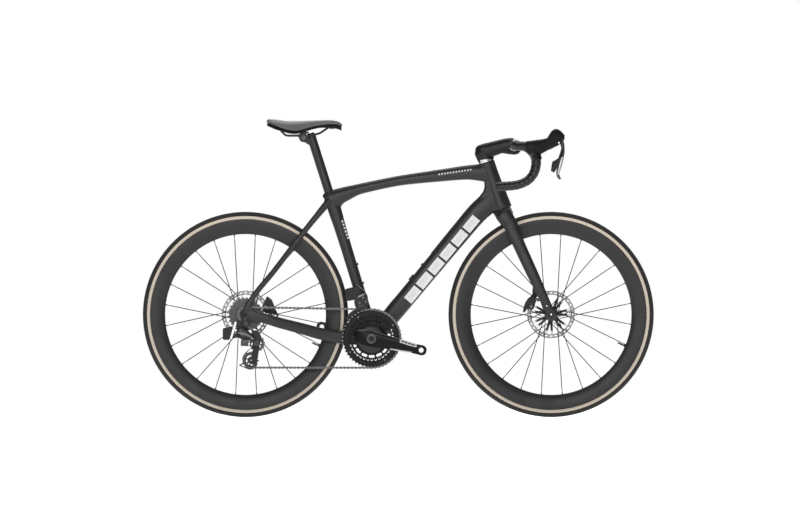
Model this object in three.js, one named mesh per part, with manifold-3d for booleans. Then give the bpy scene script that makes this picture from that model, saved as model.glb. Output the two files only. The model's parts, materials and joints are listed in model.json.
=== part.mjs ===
// Road bicycle with disc brakes, an electronic 2 x 12 drivetrain and deep-section wheels.
//
// Millimetres. +X forward, +Y to the rider's left, +Z up. The origin is on the ground, midway between
// the two axles. Each sub-part is one closed solid in its own named mesh.

import * as THREE from "three";
import { mergeVertices } from "three/addons/utils/BufferGeometryUtils.js";
import Module from "manifold-3d";

const wasm = await Module();
wasm.setup();

// ---------------------------------------------------------------- driving dimensions

const GAP = 0.35; // between pieces that touch on the real bicycle
const WHEELBASE = 1018;
const TYRE_R = 342;
const RIM_OUTER_R = 317;
const RIM_INNER_R = 268;
const WHEEL_SEGMENTS = 28;

const REAR_AXLE = { x: -WHEELBASE / 2, z: TYRE_R };
const FRONT_AXLE = { x: WHEELBASE / 2, z: TYRE_R };
const BB = { x: -89.5, z: 262 }; // crank axis
const BB_SHELL = { radius: 26, halfWidth: 40 };

const HEAD_ANGLE = THREE.MathUtils.degToRad(71.9);
const FORK_OFFSET = 48;
const SEAT_ANGLE = THREE.MathUtils.degToRad(73);
const SEAT_LINE = { x: -257.3, z: 838.9 }; // a point on the seat tube's centre line
const POST_R = 13.6;
const POST_BOTTOM_Z = 640;
const SPINDLE_R = 14.5;

const FRONT_HUB_HALF = 50; // half the distance between the fork ends
const REAR_HUB_HALF = 71;
const AXLE_R = 6;
const FRONT_ROTOR_Y = 40;
const REAR_ROTOR_Y = 55.7;
const ROTOR_R = 80;
const ROTOR_T = 1.8;

const CHAIN_PITCH = 12.7;
const RING_TEETH = 48;
const SMALL_RING_TEETH = 35;
const PULLEY_TEETH = 12;
const SPROCKETS = [10, 11, 12, 13, 14, 15, 16, 17, 19, 21, 24, 28];
const SPROCKET_STEP = 3.65;
const SPROCKET_T = 1.4;
const RING_Y = -47.5; // chain line at the big chainring
const SMALL_RING_Y = -40.9;
const SPROCKET_Y = -65.5; // smallest sprocket
const CHAIN_SPROCKET = 2; // the chain is on the third smallest
const CRANK_LENGTH = 170;
const CRANK_ANGLE = THREE.MathUtils.degToRad(13.1); // the right arm points forward and this far down

const pitchRadius = (teeth) => CHAIN_PITCH / (2 * Math.sin(Math.PI / teeth));

// ---------------------------------------------------------------- solids

const Y_AXIS = new THREE.Vector3(0, 1, 0);
const vec = (x, y, z) => new THREE.Vector3(x, y, z);

/** A closed three.js geometry as a manifold solid, turned so that its faces point out. */
function solid(geometry) {
  const source = geometry.index ? geometry.toNonIndexed() : geometry.clone();
  const bare = new THREE.BufferGeometry();
  bare.setAttribute("position", source.getAttribute("position"));
  const merged = mergeVertices(bare, 1e-3);
  const triVerts = new Uint32Array(merged.index.array);
  const vertProperties = merged.attributes.position.array;
  const made = new wasm.Manifold(new wasm.Mesh({ numProp: 3, vertProperties, triVerts }));
  if (made.volume() > 0) return made;
  for (let i = 0; i < triVerts.length; i += 3) {
    [triVerts[i + 1], triVerts[i + 2]] = [triVerts[i + 2], triVerts[i + 1]];
  }
  return new wasm.Manifold(new wasm.Mesh({ numProp: 3, vertProperties, triVerts }));
}

function geometryOf(body) {
  const { vertProperties, triVerts, numProp } = body.getMesh();
  const count = vertProperties.length / numProp;
  const positions = new Float32Array(count * 3);
  for (let i = 0; i < count; i++) {
    positions.set(vertProperties.subarray(i * numProp, i * numProp + 3), i * 3);
  }
  const geometry = new THREE.BufferGeometry();
  geometry.setAttribute("position", new THREE.BufferAttribute(positions, 3));
  geometry.setIndex(new THREE.BufferAttribute(new Uint32Array(triVerts), 1));
  geometry.computeVertexNormals();
  return geometry;
}

const union = (...bodies) => bodies.reduce((a, b) => a.add(b));
const cut = (body, ...tools) => tools.reduce((a, b) => a.subtract(b), body);
const largest = (body) => body.decompose().sort((a, b) => b.volume() - a.volume())[0];

/** A cylinder along Y, from y0 to y1, about (x, z). */
function drumY(x, z, radius, y0, y1, sides = 16, topRadius = radius) {
  const g = new THREE.CylinderGeometry(topRadius, radius, y1 - y0, sides);
  return solid(g.translate(x, (y0 + y1) / 2, z));
}

/** A cylinder from one point to another. */
function rod(from, to, radius, sides = 8, topRadius = radius) {
  const along = to.clone().sub(from);
  const g = new THREE.CylinderGeometry(topRadius, radius, along.length(), sides);
  g.applyQuaternion(new THREE.Quaternion().setFromUnitVectors(Y_AXIS, along.clone().normalize()));
  const middle = from.clone().add(to).multiplyScalar(0.5);
  return solid(g.translate(middle.x, middle.y, middle.z));
}

function box(x0, x1, y0, y1, z0, z1) {
  const g = new THREE.BoxGeometry(x1 - x0, y1 - y0, z1 - z0);
  return solid(g.translate((x0 + x1) / 2, (y0 + y1) / 2, (z0 + z1) / 2));
}

/** Rings of equally many points, joined into a closed skin; with inner rings, into an open pipe. */
function loft(rings, inner = null) {
  const sides = rings[0].length;
  const positions = [];
  const quad = (a, b, c, d) => {
    for (const p of [a, b, c, a, c, d]) positions.push(p.x, p.y, p.z);
  };
  const middle = (ring) => ring.reduce((s, p) => s.add(p), vec(0, 0, 0)).divideScalar(sides);
  for (let j = 0; j < sides; j++) {
    const k = (j + 1) % sides;
    for (let i = 0; i + 1 < rings.length; i++) {
      quad(rings[i][j], rings[i][k], rings[i + 1][k], rings[i + 1][j]);
      if (inner) {
        const [a, b, c, d] = [inner[i][j], inner[i][k], inner[i + 1][k], inner[i + 1][j]];
        for (const p of [a, c, b, a, d, c]) positions.push(p.x, p.y, p.z);
      }
    }
    const last = rings.length - 1;
    if (inner) {
      quad(rings[0][k], rings[0][j], inner[0][j], inner[0][k]);
      quad(rings[last][j], rings[last][k], inner[last][k], inner[last][j]);
    } else {
      const [c0, c1] = [middle(rings[0]), middle(rings[last])];
      for (const p of [c0, rings[0][k], rings[0][j]]) positions.push(p.x, p.y, p.z);
      for (const p of [c1, rings[last][j], rings[last][k]]) positions.push(p.x, p.y, p.z);
    }
  }
  const g = new THREE.BufferGeometry();
  g.setAttribute("position", new THREE.BufferAttribute(new Float32Array(positions), 3));
  return solid(g);
}

/** A rounded section: half-size a along u and b along v; a power over 2 squares it. */
function ring(centre, u, v, a, b, sides, power = 2) {
  const points = [];
  for (let i = 0; i < sides; i++) {
    const t = ((i + 0.5) / sides) * 2 * Math.PI;
    const [c, s] = [Math.cos(t), Math.sin(t)];
    const cu = Math.sign(c) * Math.abs(c) ** (2 / power) * a;
    const sv = Math.sign(s) * Math.abs(s) ** (2 / power) * b;
    points.push(centre.clone().addScaledVector(u, cu).addScaledVector(v, sv));
  }
  return points;
}

/**
 * A tube through stations [x, y, z, half-height, half-width]. Height is measured in the bicycle's
 * side plane, width along Y. extra thickens the tube all over, for cutting its neighbours.
 */
function tube(stations, sides = 12, power = 2.4, extra = 0) {
  const centres = stations.map(([x, y, z]) => vec(x, y, z));
  const rings = stations.map(([, , , high, wide], i) => {
    const before = centres[Math.max(i - 1, 0)];
    const after = centres[Math.min(i + 1, centres.length - 1)];
    const along = after.clone().sub(before).normalize();
    const v = Y_AXIS.clone().addScaledVector(along, -along.y).normalize();
    const u = v.clone().cross(along).normalize();
    return ring(centres[i], u, v, high + extra, wide + extra, sides, power);
  });
  return loft(rings);
}

/** A flat plate from an outline of [x, z] points, between y0 and y1. */
function plate(outline, y0, y1, holes = []) {
  const shape = new THREE.Shape(outline.map(([x, z]) => new THREE.Vector2(x, z)));
  for (const hole of holes) {
    shape.holes.push(new THREE.Path(hole.map(([x, z]) => new THREE.Vector2(x, z))));
  }
  const g = new THREE.ExtrudeGeometry(shape, { depth: y1 - y0, bevelEnabled: false });
  return solid(g.rotateX(Math.PI / 2).translate(0, y1, 0));
}

const circlePoints = (x, z, radius, sides, start = 0) =>
  Array.from({ length: sides }, (_, i) => {
    const t = start + (i / sides) * 2 * Math.PI;
    return [x + radius * Math.cos(t), z + radius * Math.sin(t)];
  });

/** A closed profile of [radius, y] turned about the Y axis, with a flat facet at the bottom. */
function turned(profile, segments = WHEEL_SEGMENTS) {
  const closed = [...profile, profile[0]].map(([r, y]) => new THREE.Vector2(r, y));
  return solid(new THREE.LatheGeometry(closed, segments, Math.PI / segments));
}

const mirrorY = (profile) => profile.map(([r, y]) => [r, -y]).reverse();

// ---------------------------------------------------------------- the scene graph

const bicycle = new THREE.Group();

const COLOURS = {
  carbon: [0x232323, 0.42, 0.1],
  rimCarbon: [0x2a2a2a, 0.5, 0.05],
  blackAlloy: [0x1a1a1c, 0.35, 0.7],
  steel: [0x9a9a9a, 0.3, 1],
  darkSteel: [0x4a4a4c, 0.35, 0.9],
  tyre: [0x2b2a29, 0.85, 0],
  rubber: [0x1c1c1c, 0.8, 0],
  tape: [0x242424, 0.55, 0],
  plastic: [0x141414, 0.5, 0],
  saddle: [0x2c2c2c, 0.5, 0],
};

function add(name, body, colour, group = bicycle) {
  const [color, roughness, metalness] = COLOURS[colour];
  const material = new THREE.MeshStandardMaterial({ color, roughness, metalness });
  const mesh = new THREE.Mesh(geometryOf(body), material);
  mesh.name = name;
  group.add(mesh);
  return mesh;
}

// ---------------------------------------------------------------- frame

/** A point in the side plane given along the steering axis (s, up) and ahead of it (n). */
const AXIS_UP = vec(-Math.cos(HEAD_ANGLE), 0, Math.sin(HEAD_ANGLE));
const AXIS_AHEAD = vec(Math.sin(HEAD_ANGLE), 0, Math.cos(HEAD_ANGLE));
const AXIS_FOOT = vec(FRONT_AXLE.x, 0, FRONT_AXLE.z).addScaledVector(AXIS_AHEAD, -FORK_OFFSET);
const steer = (s, n = 0, y = 0) =>
  AXIS_FOOT.clone().addScaledVector(AXIS_UP, s).addScaledVector(AXIS_AHEAD, n).add(vec(0, y, 0));

const HEAD_BOTTOM = 384.5; // along the steering axis
const HEAD_TOP = 552.5;
const CROWN_CLEARANCE_R = 38.5;

/** A point on the seat tube's centre line at height z. */
const seatLine = (z) => vec(SEAT_LINE.x - (z - SEAT_LINE.z) / Math.tan(SEAT_ANGLE), 0, z);
const SEAT_TUBE_TOP = 752;

function headTube() {
  const rings = [
    [HEAD_BOTTOM, 1, 30, 28],
    [HEAD_BOTTOM + 25, 1, 29, 27],
    [(HEAD_BOTTOM + HEAD_TOP) / 2, 0, 25.5, 23],
    [HEAD_TOP, 0, 24.5, 23.5],
  ].map(([s, n, deep, wide]) => ring(steer(s, n), AXIS_AHEAD, Y_AXIS, deep, wide, 14, 2.1));
  return loft(rings);
}

const topTube = (extra = 0) =>
  tube(
    [
      [-240, 0, 720, 25, 20],
      [-209, 0, 728, 29, 22],
      [-185, 0, 737, 25, 21.5],
      [-161, 0, 747, 20.5, 20.5],
      [-138, 0, 756.5, 16.2, 19.5],
      [-100, 0, 766, 14.6, 18.5],
      [6, 0, 787, 15.2, 18.5],
      [140, 0, 804, 19.6, 19.5],
      [231, 0, 814, 24, 20.5],
      [292, 0, 817, 31, 20.5],
    ],
    12,
    2.6,
    extra,
  );

const downTube = (extra = 0) =>
  tube(
    [
      [-85, 0, 262, 25, 27],
      [-45, 0, 309, 26.5, 28],
      [-4, 0, 358.5, 28, 28],
      [105, 0, 490, 30.5, 27.5],
      [215, 0, 622.5, 33, 26.5],
      [262, 0, 679, 36, 25],
      [303, 0, 722, 41, 22.5],
    ],
    12,
    2.7,
    extra,
  );

const seatTube = (extra = 0) => {
  const stations = [
    [262, 20, 21],
    [340, 18.5, 19],
    [560, 18.3, 17.5],
    [690, 21, 17.8],
    [SEAT_TUBE_TOP, 20, 18],
  ];
  return tube(
    stations.map(([z, high, wide]) => [seatLine(z).x, 0, z, high, wide]),
    12,
    2.2,
    extra,
  );
};

const bottomShell = (extra = 0) =>
  drumY(BB.x, BB.z, BB_SHELL.radius + extra, -BB_SHELL.halfWidth, BB_SHELL.halfWidth, 16);

/** Round seats along the steering axis: [from, to, radius]. */
const HEADSET_SEATS = [
  [HEAD_BOTTOM - 1, HEAD_BOTTOM + 40, 20],
  [HEAD_BOTTOM + 39, HEAD_TOP + 1, 14.8],
];

function frontTriangle() {
  const post = seatLine(SEAT_TUBE_TOP + 8);
  const postEnd = seatLine(POST_BOTTOM_Z - 95);
  return cut(
    union(headTube(), topTube(), downTube(), seatTube(), bottomShell()),
    ...HEADSET_SEATS.map(([from, to, radius]) => rod(steer(from), steer(to), radius, 12)),
    rod(steer(HEAD_BOTTOM - 40), steer(HEAD_BOTTOM), CROWN_CLEARANCE_R, 16),
    rod(steer(HEAD_TOP), steer(HEAD_TOP + 30), 40, 12),
    rod(postEnd, post, POST_R + GAP, 14),
    drumY(BB.x, BB.z, SPINDLE_R + GAP, -60, 60, 16),
    hatchSeat(),
  );
}

const chainstaySolids = new Map();

// A chainstay runs from the bottom bracket to the dropout; side is -1 on the right, +1 on the left.
const DROPOUT = { radius: 19, inner: REAR_HUB_HALF + GAP, outer: REAR_HUB_HALF + 6.5 };

const dropout = (side, extra = 0) => {
  const [y0, y1] = [side * DROPOUT.inner, side * DROPOUT.outer].sort((a, b) => a - b);
  return drumY(REAR_AXLE.x, REAR_AXLE.z, DROPOUT.radius + extra, y0 - extra, y1 + extra, 20);
};

/** Where the derailleur bolts on, below and behind the right end of the rear axle. */
const HANGER = { x: REAR_AXLE.x + 1, z: REAR_AXLE.z - 30, radius: 10 };

function chainstay(side) {
  const stay = tube(
    [
      [REAR_AXLE.x + 4, side * 74.6, 341, 15.5, 3.1],
      [-470, side * 74, 335.5, 15.8, 4.2],
      [-440, side * 70.5, 327.5, 16.4, 6],
      [-397, side * 63.5, 315, 17, 7],
      [-325, side * 50, 296, 18.2, 7.5],
      [-252, side * 37.5, 276.5, 19.4, 7.6],
      [-185, side * 29.8, 266, 20, 7.6],
      [-140, side * 29, 263, 20, 9],
      [-95, side * 29, 262, 20, 10],
    ],
    12,
    2.5,
  );
  let made = union(stay, dropout(side));
  if (side < 0) made = made.add(hangerTab());
  return largest(
    cut(
      made,
      bottomShell(GAP),
      seatTube(GAP),
      downTube(GAP),
      drumY(REAR_AXLE.x, REAR_AXLE.z, AXLE_R + GAP, -100, 100, 12),
    ),
  );
}

const hangerTab = () =>
  plate(
    [
      [HANGER.x - 12, REAR_AXLE.z],
      [HANGER.x + 12, REAR_AXLE.z],
      [HANGER.x + HANGER.radius, HANGER.z],
      [HANGER.x + 6, HANGER.z - 8],
      [HANGER.x - 6, HANGER.z - 8],
      [HANGER.x - HANGER.radius, HANGER.z],
    ],
    -DROPOUT.outer,
    -DROPOUT.inner,
    [circlePoints(HANGER.x, HANGER.z, 5 + GAP, 12)],
  );

function seatstay(side) {
  const stay = tube(
    [
      [-222, side * 14, 722, 13, 7],
      [-241, side * 18, 707, 11.5, 7],
      [-274, side * 25.5, 667, 9.6, 6.5],
      [-309, side * 30.5, 624, 8.8, 6],
      [-358, side * 39, 560.5, 8.2, 5.6],
      [-413, side * 53, 488, 8.2, 5.2],
      [-477, side * 68.5, 410, 8.4, 4.2],
      [-496, side * 73.6, 380, 9, 3.3],
      [-503, side * 74.4, 364, 9, 3],
    ],
    10,
    2.4,
  );
  return largest(
    cut(stay, seatTube(GAP), topTube(GAP), dropout(side, GAP), chainstaySolids.get(side)),
  );
}

// Storage hatch on top of the down tube, with the lever that releases it.
const DOWN_TUBE_DIR = vec(215 - 105, 0, 622.5 - 490).normalize();
const DOWN_TUBE_UP = vec(-DOWN_TUBE_DIR.z, 0, DOWN_TUBE_DIR.x);
const HATCH = { from: 20, to: 216, half: 13, top: 31.5, foot: 25, base: vec(-4, 0, 358.5) };
const LATCH = { pivot: 101.5, to: 124, half: 6, margin: 5, foot: 27, centre: 29.6, heelR: 2.2 };
const onTube = (along, up, y = 0) =>
  HATCH.base
    .clone()
    .addScaledVector(DOWN_TUBE_DIR, along)
    .addScaledVector(DOWN_TUBE_UP, up)
    .add(vec(0, y, 0));

/** A block in the down tube's own frame. */
function tubeBlock(a0, a1, up0, up1, half) {
  const corners = (a) => [
    onTube(a, up0, -half),
    onTube(a, up0, half),
    onTube(a, up1, half),
    onTube(a, up1, -half),
  ];
  return loft([corners(a0), corners(a1)]);
}

const hatch = () =>
  cut(
    tubeBlock(HATCH.from, HATCH.to, HATCH.foot + GAP, HATCH.top, HATCH.half),
    tubeBlock(LATCH.pivot - LATCH.margin, LATCH.to + LATCH.margin, LATCH.foot, 45, LATCH.half + 1),
  );

const hatchSeat = () =>
  tubeBlock(HATCH.from - GAP, HATCH.to + GAP, HATCH.foot, 60, HATCH.half + GAP);

/** A flip lever with a round heel, so that it clears the floor of its recess as it turns. */
const latch = () =>
  union(
    tubeBlock(LATCH.pivot, LATCH.to, LATCH.foot + GAP, HATCH.top + 0.6, LATCH.half),
    rod(
      onTube(LATCH.pivot, LATCH.centre, -LATCH.half),
      onTube(LATCH.pivot, LATCH.centre, LATCH.half),
      LATCH.heelR,
      12,
    ),
  );


for (const side of [-1, 1]) chainstaySolids.set(side, chainstay(side));

add("frame", frontTriangle(), "carbon");
add("right_chainstay", chainstaySolids.get(-1), "carbon");
add("left_chainstay", chainstaySolids.get(1), "carbon");
add("right_seatstay", seatstay(-1), "carbon");
add("left_seatstay", seatstay(1), "carbon");
add("storage_hatch", hatch(), "plastic");
add("hatch_latch", latch(), "blackAlloy");

// ---------------------------------------------------------------- fork, headset and stem

const FORK_END = { radius: 15, inner: FRONT_HUB_HALF + GAP, outer: FRONT_HUB_HALF + 8 };
const CROWN_TOP = HEAD_BOTTOM - GAP;
const STEERER_R = 14.3;
const SPACER = { bottom: HEAD_TOP + GAP, top: HEAD_TOP + 8 };
const STEM = { bottom: SPACER.top + GAP, top: SPACER.top + 42, radius: 20.5 };
const BAR = { x: 384, z: 904, clampR: 15.9, clampHalf: 24, gripR: 11.9 };

function forkLeg(side) {
  const stations = [
    [366, 0, 30, 26, 12],
    [350, 6, 31, 27, 11],
    [325, 12, 33, 24.5, 9.5],
    [298, 14, 37, 23, 9],
    [252, 19, 41, 20.5, 8.5],
    [198, 25, 45.5, 19, 8],
    [124, 34, 51, 17.5, 6.5],
    [52, 42, 54.2, 15, 4],
    [4, 48, 54.2, 13, 3.6],
  ];
  return tube(
    stations.map(([s, n, y, deep, wide]) => {
      const p = steer(s, n, side * y);
      return [p.x, p.y, p.z, deep, wide];
    }),
    10,
    2.3,
  );
}

function fork() {
  const crown = [
    [CROWN_TOP, 0, 30, 28],
    [CROWN_TOP - 10, 1, 31, 33],
    [CROWN_TOP - 22, 3, 30, 39],
    [CROWN_TOP - 40, 8, 26, 40],
  ].map(([s, n, deep, wide]) => ring(steer(s, n), AXIS_AHEAD, Y_AXIS, deep, wide, 16, 2.2));
  const ends = [-1, 1].map((side) => {
    const [y0, y1] = [side * FORK_END.inner, side * FORK_END.outer].sort((a, b) => a - b);
    return drumY(FRONT_AXLE.x, FRONT_AXLE.z, FORK_END.radius, y0, y1, 14);
  });
  return cut(
    union(
      loft(crown),
      forkLeg(-1),
      forkLeg(1),
      ...ends,
      rod(steer(CROWN_TOP - 6), steer(STEM.top - 4), STEERER_R, 12),
      rod(steer(CROWN_TOP - 6), steer(CROWN_TOP + 36), 19.6, 12, 15),
    ),
    drumY(FRONT_AXLE.x, FRONT_AXLE.z, TYRE_R + 7, -21.5, 21.5, 36),
    drumY(FRONT_AXLE.x, FRONT_AXLE.z, AXLE_R + GAP, -80, 80, 12),
    drumY(FRONT_AXLE.x, FRONT_AXLE.z, 60, -FORK_END.inner, FORK_END.inner, 16),
  );
}

const bars = (radius, y0, y1) => drumY(BAR.x, BAR.z, radius, y0, y1, 12);

function stem() {
  const body = loft(
    [
      [steer(582, -4), 24, 21],
      [steer(580, 20), 22, 20.5],
      [vec(330, 0, 893), 19, 19.5],
      [vec(362, 0, 902), 20.5, BAR.clampHalf],
      [vec(384, 0, 906), 22, BAR.clampHalf],
    ].map(([centre, high, wide]) => ring(centre, vec(-0.22, 0, 0.975), Y_AXIS, high, wide, 12, 3)),
  );
  return cut(
    union(body, rod(steer(STEM.bottom), steer(STEM.top), STEM.radius, 14)),
    rod(steer(500), steer(640), STEERER_R + GAP, 12),
    bars(BAR.clampR + GAP, -60, 60),
    box(BAR.x - 0.5, BAR.x + 60, -60, 60, 860, 950),
    rod(steer(500), steer(STEM.bottom), 45, 12),
  );
}

const faceplate = () =>
  cut(
    bars(22, -BAR.clampHalf, BAR.clampHalf),
    bars(BAR.clampR + GAP, -60, 60),
    box(BAR.x - 60, BAR.x + 0.5, -60, 60, 860, 950),
  );

const spacer = () =>
  cut(
    rod(steer(SPACER.bottom), steer(SPACER.top), 24, 14, 22),
    rod(steer(500), steer(640), STEERER_R + GAP, 12),
  );

add("fork", fork(), "carbon");
add("headset_spacer", spacer(), "steel");
add("stem", stem(), "blackAlloy");
add("stem_faceplate", faceplate(), "blackAlloy");

// ---------------------------------------------------------------- handlebar, hoods and levers

/** The right half of the bar's centre line, from the stem to the end of the drop. */
const BAR_LINE = [
  [384, 0, 904],
  [384, -60, 904],
  [385, -120, 904],
  [389, -165, 904],
  [402, -192, 903],
  [424, -204, 900.6],
  [443, -207, 890],
  [456, -208, 868],
  [459, -209, 845],
  [454, -210, 819],
  [442, -211, 799],
  [424, -212, 784],
  [394, -213, 773],
  [357, -214, 769],
  [324, -215, 767],
];
const TAPE_FROM = 2; // index in BAR_LINE where the tape starts
const TAPE_R = 15;
const HOOD_Y = 207;

/** Rings square to a line through points [x, y, z], carried along it without twisting. */
function ringsAlong(points, radius, sides) {
  const line = points.map(([x, y, z]) => vec(x, y, z));
  const u = vec(0, 0, 1);
  return line.map((p, i) => {
    const before = line[Math.max(i - 1, 0)];
    const after = line[Math.min(i + 1, line.length - 1)];
    const along = after.clone().sub(before).normalize();
    u.addScaledVector(along, -u.dot(along)).normalize();
    return ring(p, u.clone(), along.clone().cross(u), radius, radius, sides);
  });
}

const barLine = (side) => BAR_LINE.map(([x, y, z]) => [x, -side * y, z]);
const barRings = (side, radius) => ringsAlong(barLine(side), radius, 8);
const tapeRings = (side, radius) => barRings(side, radius).slice(TAPE_FROM);

const handlebar = () =>
  union(
    loft(barRings(-1, BAR.gripR)),
    loft(barRings(1, BAR.gripR)),
    bars(BAR.clampR, -BAR.clampHalf - 22, BAR.clampHalf + 22),
  );

const tape = (side) => loft(tapeRings(side, TAPE_R), tapeRings(side, BAR.gripR + GAP));

function hood(side) {
  const y = side * HOOD_Y;
  const body = tube(
    [
      [428, y, 899, 14, 15],
      [452, y, 901, 17, 16.5],
      [480, y, 905, 18.5, 16],
      [505, y, 917, 21, 15.5],
      [523, y, 931, 26, 15],
      [538, y, 935, 22, 14],
      [549, y, 935, 12, 10],
    ],
    12,
    2.3,
  );
  return largest(cut(body, loft(tapeRings(side, TAPE_R + GAP)), lever(side, 0.8), leverSlot(side)));
}

const LEVER_PIVOT = { x: 532, z: 909 };

/** The room under the hood that the lever swings through. */
function leverSlot(side) {
  const y = side * HOOD_Y;
  return plate(
    [
      [556, 915],
      [530, 922],
      [517, 905],
      [500, 880],
      [556, 870],
    ],
    y - 8,
    y + 8,
  );
}

function lever(side, extra = 0) {
  const y = side * HOOD_Y;
  return union(
    tube(
      [
        [537, y + side, 912, 9, 5.5],
        [542, y + side, 893, 9, 6.5],
        [541, y + side * 2, 868, 9, 8.5],
        [537, y + side * 4, 845, 7.5, 9],
        [534, y + side * 6, 818, 6, 8],
        [539, y + side * 8, 795, 4, 6],
      ],
      8,
      2.4,
      extra,
    ),
  );
}

function paddle(side) {
  const y = side * (HOOD_Y + 2);
  return tube(
    [
      [530.2, y, 872, 1.4, 5],
      [524.5, y - side * 3, 857, 5, 4.5],
      [516.5, y - side * 5, 836, 6, 4],
      [513, y - side * 6, 818, 4, 3],
    ],
    8,
    2.4,
  );
}

for (const [name, side] of [["right", -1], ["left", 1]]) {
  add(`${name}_bar_tape`, tape(side), "tape");
  add(`${name}_hood`, hood(side), "rubber");
  add(`${name}_brake_lever`, lever(side), "blackAlloy");
  add(`${name}_shift_paddle`, cut(paddle(side), lever(side, GAP)), "plastic");
}
add("handlebar", handlebar(), "blackAlloy");

// ---------------------------------------------------------------- seatpost and saddle

const CLAMP = { x: -315.5, z: 931, coreR: 11, earR: 15.5, headHalf: 12 };
const RAIL_R = 3.5;

function seatpost() {
  const top = seatLine(940);
  const head = tube(
    [
      [seatLine(902).x, 0, 902, 13.5, 12.5],
      [-292, 0, 921, 15, 12.5],
      [-300, 0, 927, 16, 12.4],
      [-308, 0, 931, 16, CLAMP.headHalf],
      [-322, 0, 931, 15, CLAMP.headHalf],
    ],
    12,
    2.3,
  );
  return cut(
    union(
      rod(seatLine(POST_BOTTOM_Z), top, POST_R, 14),
      head,
      drumY(CLAMP.x, CLAMP.z, 17, -CLAMP.headHalf, CLAMP.headHalf, 14),
    ),
    drumY(CLAMP.x, CLAMP.z, CLAMP.coreR + GAP, -40, 40, 12),
    box(-380, -240, CLAMP.headHalf + 0.05, 40, 880, 980),
    box(-380, -240, -40, -CLAMP.headHalf - 0.05, 880, 980),
  );
}

const RAIL_LINE = [
  [-396, 30, 960],
  [-386, 27, 948],
  [-373, 23, 937],
  [-350, 21.5, 936.5],
  [-275, 21.5, 936.5],
  [-262, 19, 943],
  [-236, 12, 959],
  [-226, 7, 962.5],
  [-223, 0, 963],
];

const rails = (extra = 0) => {
  const right = RAIL_LINE.map(([x, y, z]) => [x, -y, z]).reverse();
  return loft(ringsAlong([...RAIL_LINE, ...right.slice(1)], RAIL_R + extra, 6));
};

function saddleClamp() {
  const ear = (y0, y1) => drumY(CLAMP.x, CLAMP.z, CLAMP.earR, y0, y1, 14);
  const inner = CLAMP.headHalf + GAP;
  return cut(
    union(drumY(CLAMP.x, CLAMP.z, CLAMP.coreR, -20, 20, 12), ear(inner, 29), ear(-29, -inner)),
    ...[-21.5, 21.5].map((y) => rod(vec(-380, y, 936.5), vec(-250, y, 936.5), RAIL_R + GAP, 8)),
  );
}

/** Saddle outline: x, half-width, height of the crown, of the skirt's edge and of the underside. */
const SADDLE = [
  [-438, 30, 985, 977, 979.5],
  [-430, 52, 989, 972, 976],
  [-405, 70, 988, 965, 973],
  [-373, 71, 985.5, 957, 970.5],
  [-340, 58, 984, 957, 969.5],
  [-306, 42, 983.5, 962, 970],
  [-268, 29, 985.5, 968, 972],
  [-230, 23, 986.5, 970, 974],
  [-204, 20, 984, 968, 973],
  [-188, 11, 976, 963, 969],
];

/** One section of the saddle's skin, from its skirt over the crown to the other skirt. */
function saddleSection([x, half, crown, skirt, under]) {
  const top = [-1, -0.82, -0.5, 0, 0.5, 0.82, 1].map((t) => {
    const drop = Math.abs(t) ** 3;
    const z = t === 1 || t === -1 ? (skirt + crown) / 2 - 1 : crown - drop * (crown - skirt) * 0.45;
    return vec(x, t * half, z);
  });
  const skirts = [vec(x, half * 0.97, skirt), vec(x, half * 0.86, skirt + 0.5)];
  const low = [vec(x, half * 0.5, under), vec(x, 0, under), vec(x, -half * 0.5, under)];
  const others = [vec(x, -half * 0.86, skirt + 0.5), vec(x, -half * 0.97, skirt)];
  return [...top, ...skirts, ...low, ...others];
}

const saddleCover = () => loft(SADDLE.map(saddleSection));

/** The stiff shell under the cover, which the rails hold. */
function saddleShell() {
  const rings = SADDLE.slice(1, -1).map(([x, half, , skirt, under]) => {
    const centre = vec(x, 0, Math.min(under - 3, skirt + 3));
    return ring(centre, vec(0, 0, 1), Y_AXIS, 2.6, half * 0.8, 12, 3);
  });
  return cut(loft(rings), ...SADDLE_CUTS());
}

const SADDLE_CUTS = () => [grownCover(), rails(GAP)];

/** The cover moved down by the gap, which trims the shell under it. */
const grownCover = () => {
  const moved = SADDLE.map(([x, half, crown, skirt, under]) => [
    x,
    half,
    crown,
    skirt - GAP,
    under - GAP,
  ]);
  return loft(moved.map(saddleSection));
};

add("seatpost", seatpost(), "carbon");
add("saddle_clamp", saddleClamp(), "blackAlloy");
add("saddle_rails", cut(rails(), grownCover()), "darkSteel");
add("saddle_shell", largest(saddleShell()), "plastic");
add("saddle_cover", saddleCover(), "saddle");

// ---------------------------------------------------------------- wheels

const ROUND = 1 / Math.cos(Math.PI / WHEEL_SEGMENTS); // facets, not corners, lie on the radius
const SPOKE = { first: 8, step: 15, tangentR: 21.8, rimY: 3.5 };
const wheelTurned = (profile) => turned(profile.map(([r, y]) => [r * ROUND, y]));

/** An open carcass, bead to bead. */
const TYRE = [
  [313.4, -9.3],
  [318, -13],
  [326, -15.8],
  [337, -12],
  [TYRE_R, -4],
  [TYRE_R, 4],
  [337, 12],
  [326, 15.8],
  [318, 13],
  [313.4, 9.3],
  [327, 12.6],
  [338, 0],
  [327, -12.6],
];

/** A deep hollow rim; its tyre bed is left open to the well between the beads. */
const RIM = [
  [RIM_INNER_R, -5],
  [RIM_INNER_R + 12, -11.5],
  [RIM_OUTER_R - 2, -14],
  [RIM_OUTER_R - 2, -11.8],
  [307, -7],
  [307, 7],
  [RIM_OUTER_R - 2, 11.8],
  [RIM_OUTER_R - 2, 14],
  [RIM_INNER_R + 12, 11.5],
  [RIM_INNER_R, 5],
];

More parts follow.
